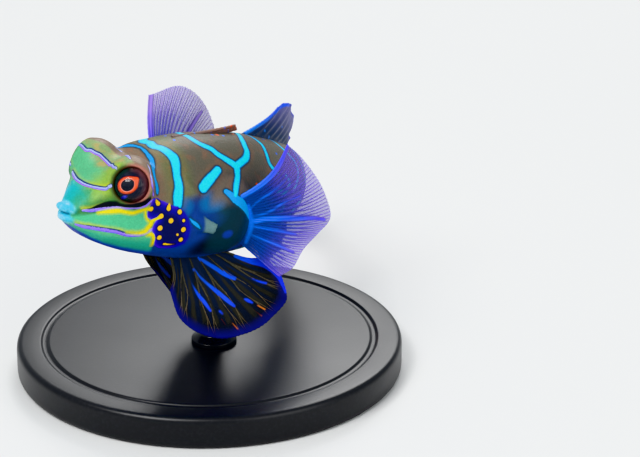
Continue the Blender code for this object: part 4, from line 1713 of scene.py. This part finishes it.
@dataclass(frozen=True)
class Fin:
    """One fin: a thin pleated membrane and the soft rays in it."""

    name: str
    roots: tuple[Triple, ...]
    tips: tuple[Triple, ...]
    rays: int
    finish: FinFinish
    splits: tuple[float, ...] = (0.45,)
    carried_at: float | None = None
    bow: Triple = (0.0, 0.0, 0.0)
    sunk: float = 1.2
    root_radius: float = 0.2
    tip_radius: float = 0.06
    membrane: tuple[float, float] = (0.26, 0.07)
    pleat: float = 0.1
    ripple: float = 0.2
    notch: float = 0.012
    columns: int = 180
    rows: int = 56
    point_step: float = 0.15
    streaks: tuple[Path, ...] = ()
    flecks: tuple[Path, ...] = ()
    streak_samples: int = 90
    ripple_turns: float = 17.0
    ripple_drift: float = 2.5
    loose: float = 0.06
    sizes: tuple[float, float] = (0.85, 1.1)
    fork: float = 0.25
    fork_shrink: float = 1.7
    fork_length: float = 0.4
    fork_thinning: float = 0.2
    seed: int = 4
    curl: Curl = Curl()

    def reach(self, across: Array, out: Array) -> Array:
        """Turns shares of the whole fin into reaches, which start at 0 on the body's skin.

        Args:
            across: Share from the first ray to the last.
            out: Share from the sunken root to the margin.

        Returns:
            The reaches, up to 1 at the ends of the rays.
        """
        start = -self.sunk / self.length(across)
        scallop = np.abs(np.sin(math.pi * across * (self.rays - 1) * 2 ** len(self.splits)))
        return start + (1 - self.notch * scallop**0.7 - start) * out

    def length(self, across: Array) -> Array:
        """Gives the fin's lengths in millimetres at shares across it."""
        return np.linalg.norm(along(self.tips, across) - along(self.roots, across), axis=-1)

    def place(self, across: Array, reach: Array) -> Array:
        """Places a point of the fin on its curved middle surface.

        Args:
            across: Share from the first ray to the last.
            reach: Share from the skin to the ends of the rays.

        Returns:
            Straight points.
        """
        root = along(self.roots, across)
        tip = along(self.tips, across)
        within = np.clip(reach, 0, 1)
        wave = np.sin(across * self.ripple_turns + reach * self.ripple_drift) * self.ripple * within**2
        swell = np.sin(math.pi * within)[..., None]
        points = root + (tip - root) * reach[..., None] + np.array(self.bow) * swell
        return points + wave[..., None] * self.outward(across, within)

    def outward(self, across: Array, out: Array) -> Array:
        """Gives the middle surface's normals, before its waves.

        Args:
            across: Share from the first ray to the last.
            out: Share from the root to the margin.

        Returns:
            Unit normals.
        """
        step = 0.004
        flat = [along(self.roots, np.clip(across + d, 0, 1)) for d in (-step, step)]
        far = [along(self.tips, np.clip(across + d, 0, 1)) for d in (-step, step)]
        out = out[..., None]
        side = (flat[1] - flat[0]) * (1 - out) + (far[1] - far[0]) * out
        normal = np.cross(side, (far[0] - flat[0]))
        return normal / np.linalg.norm(normal, axis=-1, keepdims=True)

    def marks(self, points: Array, across: Array, out: Array, ray: float) -> dict[str, Array]:
        """Reads every attribute of the fin.

        Args:
            points: Straight points.
            across: Their shares across.
            out: Their shares out.
            ray: 1 on rays, 0 on the membrane.

        Returns:
            Values by attribute name.
        """
        values = {"across": across, "out": out, "edge": (1 - out) * self.length(across)}
        values["ray"] = np.full(len(points), ray)
        for name, paths in (("streak", self.streaks), ("fleck", self.flecks)):
            gap = np.full(len(points), FAR_OFF)
            for path in paths:
                knots = spline(path, self.streak_samples)
                line = self.place(knots[:, 0], knots[:, 1])
                gap = np.minimum(gap, nearest(points, line, knots[:, 2])[0])
            values[name] = gap
        return {**values, "place": points}

    def build(self) -> None:
        """Makes the membrane and the rays."""
        material = self.finish.material()
        self.build_membrane(material)
        self.build_rays(material)

    def build_membrane(self, material: bpy.types.Material) -> None:
        """Makes the closed membrane.

        Args:
            material: What it is made of.
        """
        across, out = np.meshgrid(np.linspace(0, 1, self.columns), np.linspace(0, 1, self.rows))
        across = across.ravel()
        out = self.reach(across, out.ravel())
        middle = self.place(across, out)
        normal = self.outward(across, np.clip(out, 0, 1))
        fold = self.pleat * np.cos(2 * math.pi * across * (self.rays - 1)) * ease(out, 0.0, 0.2)
        middle = middle + normal * (fold * (1 - 0.5 * out))[:, None]
        half = (self.membrane[0] + (self.membrane[1] - self.membrane[0]) * out) / 2
        points = np.vstack([middle + normal * half[:, None], middle - normal * half[:, None]])
        across, out = np.tile(across, 2), np.tile(out, 2)
        fin = add_mesh(f"{self.name}_membrane", points, self.sheet_faces())
        add_values(fin, self.marks(points, across, out, 0.0))
        write_points(fin, self.curl.bend(points, self.carried_at))
        hand_over(fin, material, "fin", self.name)

    def sheet_faces(self) -> list[tuple[int, ...]]:
        """Joins the membrane's two faces round its rim.

        Returns:
            The faces.
        """
        wide, tall = self.columns, self.rows
        count = wide * tall
        faces = []
        for row in range(tall - 1):
            for column in range(wide - 1):
                a = row * wide + column
                faces.append((a, a + 1, a + wide + 1, a + wide))
                faces.append((count + a, count + a + wide, count + a + wide + 1, count + a + 1))
        bottom = list(range(wide))
        right = [wide - 1 + row * wide for row in range(tall)]
        top = [count - 1 - column for column in range(wide)]
        left = [(tall - 1 - row) * wide for row in range(tall)]
        rim = bottom + right[1:] + top[1:] + left[1:]
        faces.extend((b, a, count + a, count + b) for a, b in zip(rim, rim[1:]))
        return faces

    def guides(self) -> tuple[Array, list[tuple[int, int]], dict[str, Array]]:
        """Lays every branch of every ray as a line of points.

        Returns:
            Points, edges, and the values by attribute name.
        """
        draw = np.random.default_rng(self.seed)
        spacing = 1 / (self.rays - 1)
        rows: list[Array] = []
        edges: list[tuple[int, int]] = []
        first = 0
        for ray in range(self.rays):
            shift = draw.uniform(-self.loose, self.loose) * spacing
            middle = ray * spacing + shift * (0 < ray < self.rays - 1)
            size = draw.uniform(*self.sizes)
            for branch in range(2 ** len(self.splits)):
                line = self.branch(middle, spacing, branch, size)
                count = len(line)
                rows.append(line)
                edges.extend((first + i, first + i + 1) for i in range(count - 1))
                first += count
        table = np.vstack(rows)
        across = np.clip(table[:, 0], 0, 1)
        out = self.reach(across, table[:, 1])
        points = self.place(across, out)
        values = self.marks(points, across, out, 1.0)
        return points, edges, {**values, "radius": table[:, 2] * MM}

    def branch(self, middle: float, spacing: float, branch: int, size: float) -> Array:
        """Lays one branch of a ray, from where it leaves its neighbour.

        Args:
            middle: Share across of its ray.
            spacing: Share between rays.
            branch: Number of the branch, whose bits are its turns.
            size: Thickness against the usual.

        Returns:
            Rows of across, out and radius.
        """
        levels = len(self.splits)
        bits = [(branch >> (levels - 1 - level)) & 1 for level in range(levels)]
        start = max([split for split, bit in zip(self.splits, bits) if bit], default=0.0)
        length = float(self.length(np.array(middle)))
        out = np.linspace(start, 1, max(6, int(length * (1 - start) / self.point_step)))
        across = np.full(len(out), middle)
        radius = self.root_radius + (self.tip_radius - self.root_radius) * out
        for level, (split, bit) in enumerate(zip(self.splits, bits)):
            opened = ease(out, split, min(split + self.fork_length, 1.0))
            way = (1 if bit else -1) * spacing * self.fork / self.fork_shrink**level
            across = across + way * opened
            radius = radius * (1 - self.fork_thinning * opened)
        return np.stack([across, out, radius * size], axis=1)

    def build_rays(self, material: bpy.types.Material) -> None:
        """Makes the rays from their guide lines with Geometry Nodes.

        Args:
            material: What they are made of.
        """
        points, edges, values = self.guides()
        rays = add_mesh(f"{self.name}_rays", self.curl.bend(points, self.carried_at), [], edges)
        add_values(rays, values)
        tubes = rays.modifiers.new("rays", "NODES")
        tubes.node_group = ray_tree(material)
        for item in tubes.node_group.interface.items_tree:
            if item.name in RAY_INPUTS:
                tubes[item.identifier] = RAY_INPUTS[item.name]
        settle(rays)
        hand_over(rays, material, "fin", self.name)


RAY_INPUTS = {"Thickness": 1.0, "Segment Length": 0.7 * MM, "Segment Depth": 0.12}
RAY_SIDES = 6


def ray_tree(material: bpy.types.Material) -> bpy.types.NodeTree:
    """Builds the Geometry Nodes that turn guide lines into jointed, tapering rays.

    Args:
        material: What the rays are made of.

    Returns:
        The node tree.
    """
    group = bpy.data.node_groups.new("fin_rays", "GeometryNodeTree")
    interface = group.interface
    interface.new_socket("Geometry", in_out="INPUT", socket_type="NodeSocketGeometry")
    for name, value in RAY_INPUTS.items():
        interface.new_socket(name, in_out="INPUT", socket_type="NodeSocketFloat").default_value = value
    interface.new_socket("Sides", in_out="INPUT", socket_type="NodeSocketInt").default_value = RAY_SIDES
    interface.new_socket("Geometry", in_out="OUTPUT", socket_type="NodeSocketGeometry")
    tree = Tree(group)
    entry = group.nodes.new("NodeGroupInput")
    inputs = {socket.name: Value(tree, socket) for socket in entry.outputs}
    lines = tree.node("GeometryNodeMeshToCurve", {}, {"Mesh": inputs["Geometry"]})
    run = tree.node("GeometryNodeSplineParameter", {}, {}, "Length")
    beat = tree.maths("SINE", run / inputs["Segment Length"] * (2 * math.pi), 0.0)
    named = {"data_type": "FLOAT"}
    radius = tree.node("GeometryNodeInputNamedAttribute", named, {"Name": "radius"}, "Attribute")
    scale = radius * inputs["Thickness"] * (beat * inputs["Segment Depth"] + 1.0)
    ring = tree.node("GeometryNodeCurvePrimitiveCircle", {}, {"Resolution": inputs["Sides"], "Radius": 1.0})
    values = {"Curve": lines, "Profile Curve": ring, "Scale": scale, "Fill Caps": True}
    tubes = tree.node("GeometryNodeCurveToMesh", {}, values)
    smooth = tree.node("GeometryNodeSetShadeSmooth", {}, {"Geometry": tubes})
    real = tree.node("GeometryNodeRealizeInstances", {}, {"Geometry": smooth})
    made = tree.node("GeometryNodeSetMaterial", {}, {"Geometry": real, "Material": material})
    leave = group.nodes.new("NodeGroupOutput")
    group.links.new(made.socket, leave.inputs["Geometry"])
    return group


PECTORAL_ROOTS = ((7.3, 20.2, 2.9), (7.1, 21.5, 1.4), (6.6, 22.5, -0.4), (6.3, 22.8, -1.9), (5.9, 22.7, -3.6))
RIGHT_PECTORAL_ROOTS = ((-7.3, 18.8, 3.4), (-7.2, 20.9, 1.8), (-6.8, 22.0, -0.5), (-6.2, 22.2, -3.2))
PELVIC_ROOTS = ((3.0, 14.4, -5.2), (3.6, 16.6, -5.4), (4.3, 18.8, -5.2), (4.9, 21.2, -4.8))
PECTORAL_FINISH = FinFinish(
    name="pectoral",
    root=paint(6, 62, 150),
    tip=paint(112, 96, 196),
    ray=paint(10, 92, 220),
    ray_tip=paint(146, 112, 222),
    margin=paint(134, 110, 226),
    streak=paint(6, 120, 250),
    streak_tip=paint(84, 76, 246),
    margin_width=0.3,
    streak_blur=0.2,
    cover=(0.8, 0.36),
)
RIGHT_FINISH = FinFinish(
    name="right_pectoral",
    root=paint(40, 58, 170),
    tip=paint(140, 122, 196),
    ray=paint(64, 84, 200),
    ray_tip=paint(166, 140, 206),
    margin=paint(150, 132, 214),
    streak=paint(84, 76, 220),
    streak_tip=paint(160, 130, 214),
    margin_width=0.3,
    streak_blur=0.2,
    cover=(0.75, 0.4),
)
PELVIC_FINISH = FinFinish(
    name="pelvic",
    root=paint(3, 22, 52),
    tip=paint(4, 10, 26),
    ray=paint(78, 76, 62),
    ray_tip=paint(112, 100, 80),
    margin=paint(8, 14, 116),
    streak=paint(10, 84, 226),
    streak_tip=paint(28, 52, 232),
    bars=14.0,
    margin_width=2.1,
    cover=(0.97, 0.9),
)
DORSAL_FINISH = FinFinish(
    name="dorsal",
    root=paint(10, 44, 84),
    tip=paint(96, 96, 156),
    ray=paint(36, 76, 130),
    ray_tip=paint(142, 128, 168),
    margin=paint(30, 54, 190),
    streak=paint(26, 120, 226),
    streak_tip=paint(30, 84, 228),
    margin_width=1.3,
    streak_blur=0.1,
    cover=(0.9, 0.82),
)
SAIL_FINISH = FinFinish(
    name="first_dorsal",
    root=paint(112, 96, 92),
    tip=paint(138, 104, 94),
    ray=paint(122, 104, 98),
    ray_tip=paint(150, 112, 96),
    margin=paint(92, 88, 120),
    streak=paint(30, 120, 220),
    streak_tip=paint(44, 120, 236),
    fleck=paint(232, 84, 34),
    margin_width=0.2,
    cover=(0.98, 0.96),
)
ANAL_FINISH = FinFinish(
    name="anal",
    root=paint(10, 56, 130),
    tip=paint(8, 24, 90),
    ray=paint(30, 84, 170),
    ray_tip=paint(40, 66, 160),
    margin=paint(24, 96, 226),
    streak=paint(20, 120, 224),
    streak_tip=paint(30, 110, 230),
    margin_width=0.8,
    cover=(0.92, 0.86),
)
CAUDAL_FINISH = FinFinish(
    name="caudal",
    root=paint(150, 84, 40),
    tip=paint(190, 98, 40),
    ray=paint(116, 66, 40),
    ray_tip=paint(170, 92, 46),
    margin=paint(14, 60, 190),
    streak=paint(16, 116, 224),
    streak_tip=paint(20, 96, 224),
    margin_width=1.8,
    cover=(0.95, 0.9),
)
PELVIC_STREAKS = (
    ((0.5, 0.02, 0.14), (0.55, 0.06, 0.22), (0.59, 0.12, 0.28), (0.64, 0.23, 0.3), (0.68, 0.34, 0.2)),
    ((0.35, 0.13, 0.1), (0.42, 0.28, 0.22), (0.48, 0.4, 0.26), (0.51, 0.5, 0.24), (0.53, 0.6, 0.14)),
    ((0.24, 0.24, 0.1), (0.28, 0.38, 0.2), (0.33, 0.49, 0.22), (0.36, 0.6, 0.14)),
    ((0.77, 0.44, 0.08), (0.79, 0.56, 0.14), (0.81, 0.68, 0.1)),
    ((0.61, 0.58, 0.14), (0.62, 0.62, 0.22), (0.63, 0.67, 0.14)),
    ((0.42, 0.61, 0.18), (0.43, 0.65, 0.14)),
    ((0.98, 0.2, 0.14), (0.98, 0.5, 0.36), (0.96, 0.8, 0.5), (0.9, 0.94, 0.4), (0.8, 0.98, 0.2)),
)
PELVIC_FLECKS = (
    ((0.64, 0.74, 0.07), (0.65, 0.85, 0.07)),
    ((0.6, 0.7, 0.05), (0.61, 0.88, 0.07)),
    ((0.41, 0.71, 0.08), (0.42, 0.81, 0.08)),
    ((0.46, 0.8, 0.06), (0.47, 0.9, 0.06)),
    ((0.23, 0.69, 0.07), (0.23, 0.76, 0.07)),
)
PECTORAL_STREAKS = (
    ((0.0, 0.0, 0.4), (0.0, 0.19, 0.5), (0.0, 0.45, 0.55), (0.0, 0.69, 0.5), (0.0, 0.98, 0.3)),
    ((0.22, 0.02, 0.2), (0.42, 0.02, 0.34), (0.64, 0.04, 0.3), (0.93, 0.05, 0.2)),
    (
        *((0.5, 0.0, 0.26), (0.5, 0.07, 0.36), (0.46, 0.17, 0.34)),
        *((0.45, 0.4, 0.3), (0.48, 0.72, 0.2), (0.51, 0.9, 0.1)),
    ),
    ((0.42, 0.06, 0.12), (0.38, 0.2, 0.14), (0.31, 0.42, 0.12), (0.31, 0.66, 0.06)),
    ((0.3, 0.02, 0.1), (0.2, 0.16, 0.12), (0.16, 0.39, 0.14), (0.15, 0.6, 0.06)),
    ((0.62, 0.04, 0.12), (0.6, 0.3, 0.12), (0.62, 0.6, 0.06)),
    ((0.78, 0.05, 0.1), (0.76, 0.4, 0.1), (0.78, 0.8, 0.06)),
)
RIGHT_STREAKS = (
    ((0.0, 0.0, 0.3), (0.02, 0.4, 0.35), (0.02, 0.98, 0.2)),
    ((0.0, 0.03, 0.3), (0.5, 0.04, 0.3), (1.0, 0.03, 0.3)),
    ((0.46, 0.06, 0.2), (0.46, 0.5, 0.24), (0.48, 0.9, 0.12)),
)
DORSAL_STREAKS = (
    ((0.0, 0.05, 0.26), (0.0, 0.5, 0.36), (0.01, 0.8, 0.36), (0.1, 0.9, 0.3), (0.3, 0.95, 0.2)),
    ((0.36, 0.08, 0.22),),
    ((0.64, 0.04, 0.22),),
    ((0.66, 0.24, 0.24),),
    ((0.21, 0.2, 0.18),),
    ((0.46, 0.4, 0.16),),
    ((0.82, 0.6, 0.2),),
)
SAIL_STREAKS = (
    ((0.1, 0.2, 0.1),),
    ((0.4, 0.34, 0.14),),
    ((0.2, 0.74, 0.16),),
    ((0.8, 0.62, 0.14),),
)
SAIL_FLECKS = (((0.1, 0.9, 0.2),), ((0.5, 0.97, 0.2),), ((0.9, 0.88, 0.14),))
CAUDAL_STREAKS = (
    ((0.12, 0.1, 0.16), (0.1, 0.5, 0.24), (0.12, 0.9, 0.16)),
    ((0.38, 0.2, 0.14), (0.34, 0.55, 0.22), (0.36, 0.8, 0.14)),
    ((0.62, 0.2, 0.14), (0.66, 0.55, 0.22), (0.64, 0.8, 0.14)),
    ((0.88, 0.1, 0.16), (0.9, 0.5, 0.24), (0.88, 0.9, 0.16)),
)
ANAL_STREAKS = (
    ((0.05, 0.5, 0.14), (0.4, 0.55, 0.2), (0.95, 0.5, 0.14)),
    ((0.1, 0.2, 0.12), (0.5, 0.22, 0.16), (0.9, 0.2, 0.12)),
)
PECTORAL_BUILD = {
    "rays": 28,
    "carried_at": 20.0,
    "root_radius": 0.15,
    "tip_radius": 0.045,
    "pleat": 0.07,
    "columns": 224,
}
PELVIC_BUILD = {
    "rays": 7,
    "finish": PELVIC_FINISH,
    "splits": (0.2, 0.42, 0.66),
    "carried_at": 18.0,
    "streaks": PELVIC_STREAKS,
    "flecks": PELVIC_FLECKS,
    "columns": 200,
    "rows": 70,
}
FINS = (
    Fin(
        name="pectoral_fin_left",
        roots=PECTORAL_ROOTS,
        tips=(
            *((9.6, 24.3, 9.7), (10.0, 26.4, 8.2), (10.3, 28.7, 6.1), (10.6, 30.9, 3.4), (10.8, 32.4, 0.4)),
            *((10.9, 30.4, -1.6), (11.0, 28.2, -3.4), (11.0, 27.0, -5.4), (10.8, 25.0, -6.6)),
        ),
        finish=PECTORAL_FINISH,
        bow=(0.8, 0.2, -0.4),
        streaks=PECTORAL_STREAKS,
        **PECTORAL_BUILD,
    ),
    Fin(
        name="pectoral_fin_right",
        roots=RIGHT_PECTORAL_ROOTS,
        tips=(
            *((-12.2, 21.0, 10.4), (-11.0, 24.6, 11.8), (-10.0, 29.2, 9.0)),
            *((-9.8, 31.6, 2.0), (-9.0, 28.8, -4.6)),
        ),
        finish=RIGHT_FINISH,
        bow=(-0.6, 0.0, 0.0),
        streaks=RIGHT_STREAKS,
        seed=5,
        **PECTORAL_BUILD,
    ),
    Fin(
        name="pelvic_fin_left",
        roots=PELVIC_ROOTS,
        tips=(
            *((4.1, 14.1, -9.3), (5.2, 14.7, -12.0), (6.6, 17.1, -14.1)),
            *((7.8, 20.2, -14.8), (8.5, 23.3, -14.2), (9.0, 26.4, -12.6)),
            *((9.0, 28.7, -10.2), (8.2, 28.2, -7.9), (6.9, 26.2, -5.0)),
        ),
        bow=(0.7, 0.0, -0.4),
        seed=6,
        **PELVIC_BUILD,
    ),
    Fin(
        name="pelvic_fin_right",
        roots=tuple((-x, s, z) for x, s, z in PELVIC_ROOTS),
        tips=(
            *((-3.6, 18.6, -9.8), (-4.4, 21.0, -12.4), (-5.0, 23.6, -14.0), (-5.8, 26.6, -14.4)),
            *((-6.6, 29.6, -13.4), (-7.2, 31.8, -11.6), (-7.4, 32.4, -9.6), (-6.9, 31.2, -7.8)),
        ),
        bow=(-0.5, 0.0, -0.4),
        seed=7,
        **PELVIC_BUILD,
    ),
    Fin(
        name="first_dorsal_fin",
        roots=((0, 15.6, 8.5), (0, 22.4, 8.6)),
        tips=((0, 25.1, 9.35), (0, 25.5, 8.78)),
        rays=4,
        finish=SAIL_FINISH,
        splits=(),
        sunk=0.9,
        root_radius=0.3,
        tip_radius=0.14,
        membrane=(0.5, 0.3),
        pleat=0.12,
        ripple=0.05,
        streaks=SAIL_STREAKS,
        flecks=SAIL_FLECKS,
        columns=90,
    ),
    Fin(
        name="second_dorsal_fin",
        roots=((0, 27.0, 8.0), (0, 43.6, 4.2)),
        tips=(
            *((0.1, 36.4, 10.2), (0.4, 38.8, 10.5), (0.7, 41.6, 10.1), (0.9, 44.3, 9.2)),
            *((1.0, 46.3, 7.9), (0.8, 47.4, 6.5), (0.6, 47.0, 5.2)),
        ),
        rays=9,
        finish=DORSAL_FINISH,
        streaks=DORSAL_STREAKS,
        seed=8,
    ),
    Fin(
        name="anal_fin",
        roots=((0, 30.5, -5.2), (0, 44.5, -3.4)),
        tips=((0, 35.6, -9.4), (0, 42.0, -8.8), (0, 48.8, -6.2)),
        rays=8,
        finish=ANAL_FINISH,
        streaks=ANAL_STREAKS,
        seed=9,
    ),
    Fin(
        name="caudal_fin",
        roots=((0, 55.4, 2.5), (0, 55.4, -2.5)),
        tips=((0, 68.2, 5.6), (0, 70.2, 3.0), (0, 70.8, 0.0), (0, 70.2, -3.0), (0, 68.2, -5.6)),
        rays=10,
        finish=CAUDAL_FINISH,
        splits=(0.3, 0.6),
        sunk=0.0,
        root_radius=0.26,
        streaks=CAUDAL_STREAKS,
        columns=200,
        seed=10,
    ),
)


@dataclass(frozen=True)
class StandFinish:
    """Black acrylic, softly polished."""

    black: Colour = (0.006, 0.006, 0.0075)
    worn: Colour = (0.016, 0.016, 0.019)
    base_polish: float = 0.3
    rod_polish: float = 0.12
    cloud_scale: float = 90.0
    grain_scale: float = 2600.0
    grain_depth: float = 0.004

    def material(self, name: str, polish: float) -> bpy.types.Material:
        """Builds the material of one part of the stand.

        Args:
            name: Its name.
            polish: Its roughness where it is smoothest.

        Returns:
            The material.
        """
        tree = Surface(name)
        place = tree.node("ShaderNodeTexCoord", {}, {}, "Object")
        grain = tree.noise(place, self.grain_scale)
        cloud = tree.noise(place, self.cloud_scale)
        base = tree.mix(grain.rise(0.4, 0.8) * 0.6, self.black, self.worn)
        return tree.dress(
            base_color=base,
            roughness=cloud * 0.08 + grain * 0.06 + polish,
            normal=tree.bump(grain, self.grain_depth),
        )


@dataclass(frozen=True)
class Stand:
    """Turned base and the rod that holds the fish."""

    shape: BodyShape
    curl: Curl
    finish: StandFinish
    base_radius: float = 24.0
    base_height: float = 4.0
    rounding: float = 0.8
    groove_radius: float = 20.5
    groove_width: float = 0.5
    groove_depth: float = 0.25
    rod_station: float = 22.5
    rod_radius: float = 1.2
    foot_radius: float = 2.8
    foot_height: float = 2.4
    neck_radius: float = 1.7
    neck_height: float = 1.1
    foot_rim: float = 0.6
    rod_sunk: float = 0.5
    rod_rounding: float = 0.12
    segments: int = 192

    def build(self) -> None:
        """Makes the base and the rod."""
        points, faces = revolve(self.base_profile(), self.segments)
        base = add_mesh("base", points * MM, faces)
        material = self.finish.material("satin_acrylic", self.finish.base_polish)
        hand_over(base, material, "stand", "stand_base")
        foot = self.curl.bend(np.array([[0.0, self.rod_station, 0.0]]))[0] / MM
        belly = np.array([[0.0, self.rod_station, float(curve(self.shape.belly, self.rod_station))]])
        top = self.curl.bend(belly)[0, 2] / MM + self.rod_sunk
        profile = (
            (self.base_height, 0.0),
            (self.base_height, self.foot_radius),
            (self.base_height + self.foot_rim, self.foot_radius),
            (self.base_height + self.neck_height, self.neck_radius),
            (self.base_height + self.foot_height, self.rod_radius),
            (top, self.rod_radius),
            (top, 0.0),
        )
        points, faces = revolve(eased_corners(profile, self.rod_rounding), self.segments)
        rod = add_mesh("rod", (points + (foot[0], foot[1], 0.0)) * MM, faces)
        material = self.finish.material("polished_acrylic", self.finish.rod_polish)
        hand_over(rod, material, "stand", "stand_rod")

    def base_profile(self) -> Profile:
        """Draws the base's outline, from the middle underneath to the middle on top.

        Returns:
            Heights and radii.
        """
        top, rim = self.base_height, self.groove_radius
        corners = (
            *((0.0, 0.0), (0.0, self.base_radius), (top, self.base_radius)),
            *((top, rim + self.groove_width), (top - self.groove_depth, rim + self.groove_width * 0.5)),
            *((top - self.groove_depth, rim - self.groove_width * 0.5), (top, rim - self.groove_width)),
            (top, 0.0),
        )
        return eased_corners(corners, self.rounding)


def eased_corners(corners: Profile, radius: float, steps: int = 6) -> Profile:
    """Rounds the corners of a profile.

    Args:
        corners: Heights and radii of the corners.
        radius: Longest cut along each side.
        steps: Points around each corner.

    Returns:
        The rounded profile.
    """
    points = np.array(corners, float)
    made = [tuple(points[0])]
    for before, corner, after in zip(points, points[1:], points[2:]):
        reach = min(radius, np.linalg.norm(before - corner) * 0.45, np.linalg.norm(after - corner) * 0.45)
        start = corner + unit(before - corner) * reach
        end = corner + unit(after - corner) * reach
        for t in np.linspace(0, 1, steps):
            made.append(tuple((1 - t) ** 2 * start + 2 * t * (1 - t) * corner + t * t * end))
    made.append(tuple(points[-1]))
    return tuple(made)


@dataclass(frozen=True)
class Studio:
    """Pale floor, soft lights and the camera that sees the fish as the photo does."""

    shape: BodyShape
    curl: Curl
    eye_way: Triple = (0.783, -0.508, 0.358)
    distance: float = 0.3
    eye_pixel: tuple[float, float] = (134.0, 185.0)
    frame_size: tuple[int, int] = (640, 457)
    focal_pixels: float = 2580.0
    sensor: float = 36.0
    floor_size: float = 4.0
    floor_colour: Colour = (0.72, 0.72, 0.71)
    sky: Colour = (0.9, 0.95, 1.0)
    sky_strength: float = 0.55
    aim: Triple = (0.0, 0.0, 0.024)
    lights: tuple[tuple[str, Triple, float, float], ...] = (
        ("key", (0.1, -0.42, 0.5), 0.3, 3.4),
        ("fill", (0.55, 0.1, 0.3), 0.5, 1.4),
        ("rim", (-0.35, 0.35, 0.4), 0.3, 1.8),
    )

    def build(self) -> None:
        """Makes the floor, the lights and the camera."""
        corners = np.array([(-1, -1, 0), (1, -1, 0), (1, 1, 0), (-1, 1, 0)])
        floor = add_mesh("floor", corners * (self.floor_size / 2), [(0, 1, 2, 3)])
        tree = Surface("pale_floor")
        place = tree.node("ShaderNodeTexCoord", {}, {}, "Object")
        grain = tree.noise(place, 900.0, 2.0)
        floor.data.materials.append(tree.dress(base_color=self.floor_colour, roughness=grain * 0.1 + 0.6))
        self.world()
        for light in self.lights:
            self.light(*light)
        self.camera()
        bpy.context.scene.view_settings.view_transform = "Khronos PBR Neutral"

    def world(self) -> None:
        """Fills the surroundings with soft pale light."""
        world = bpy.data.worlds.new("surroundings")
        world.use_nodes = True
        background = world.node_tree.nodes["Background"]
        background.inputs["Color"].default_value = (*self.sky, 1.0)
        background.inputs["Strength"].default_value = self.sky_strength
        bpy.context.scene.world = world

    def light(self, name: str, place: Triple, size: float, power: float) -> None:
        """Adds a soft light that faces the fish.

        Args:
            name: Its name.
            place: Where it hangs.
            size: Its side.
            power: Its power in watts.
        """
        lamp = bpy.data.lights.new(name, "AREA")
        lamp.size = size
        lamp.energy = power
        light = bpy.data.objects.new(name, lamp)
        light.location = place
        aim = Vector(self.aim) - light.location
        light.rotation_euler = aim.to_track_quat("-Z", "Y").to_euler()
        bpy.context.scene.collection.objects.link(light)

    def camera(self) -> None:
        """Sets the camera level, so that the near eye falls on its pixel of the photo."""
        eye = self.curl.bend(np.array([self.shape.dome_centre]))[0]
        out = unit(self.eye_way)
        wide, high = self.frame_size
        seen = unit((self.eye_pixel[0] - wide / 2, high / 2 - self.eye_pixel[1], -self.focal_pixels))
        way = -out
        pitch = math.asin(way[2] / math.hypot(seen[1], seen[2])) - math.atan2(seen[2], seen[1])
        ahead = math.cos(pitch) * seen[1] - math.sin(pitch) * seen[2]
        yaw = math.atan2(way[1], way[0]) - math.atan2(ahead, seen[0])
        data = bpy.data.cameras.new("camera")
        data.sensor_width = self.sensor
        data.lens = self.focal_pixels / wide * self.sensor
        data.clip_start = 0.01
        camera = bpy.data.objects.new("camera", data)
        camera.location = eye + out * self.distance
        camera.rotation_euler = (pitch, 0.0, yaw)
        bpy.context.scene.collection.objects.link(camera)
        bpy.context.scene.camera = camera


def main() -> None:
    """Builds the fish, its stand and the studio."""
    logging.basicConfig(level=logging.INFO, format="%(name)s: %(message)s")
    shape = BodyShape()
    curl = Curl()
    Skin(shape, curl, SkinFinish()).build()
    for side in Side:
        Eye(side, shape, curl, EyeFinish()).build()
    for fin in FINS:
        fin.build()
    Stand(shape, curl, StandFinish()).build()
    Studio(shape, curl).build()


if __name__ == "__main__":
    main()
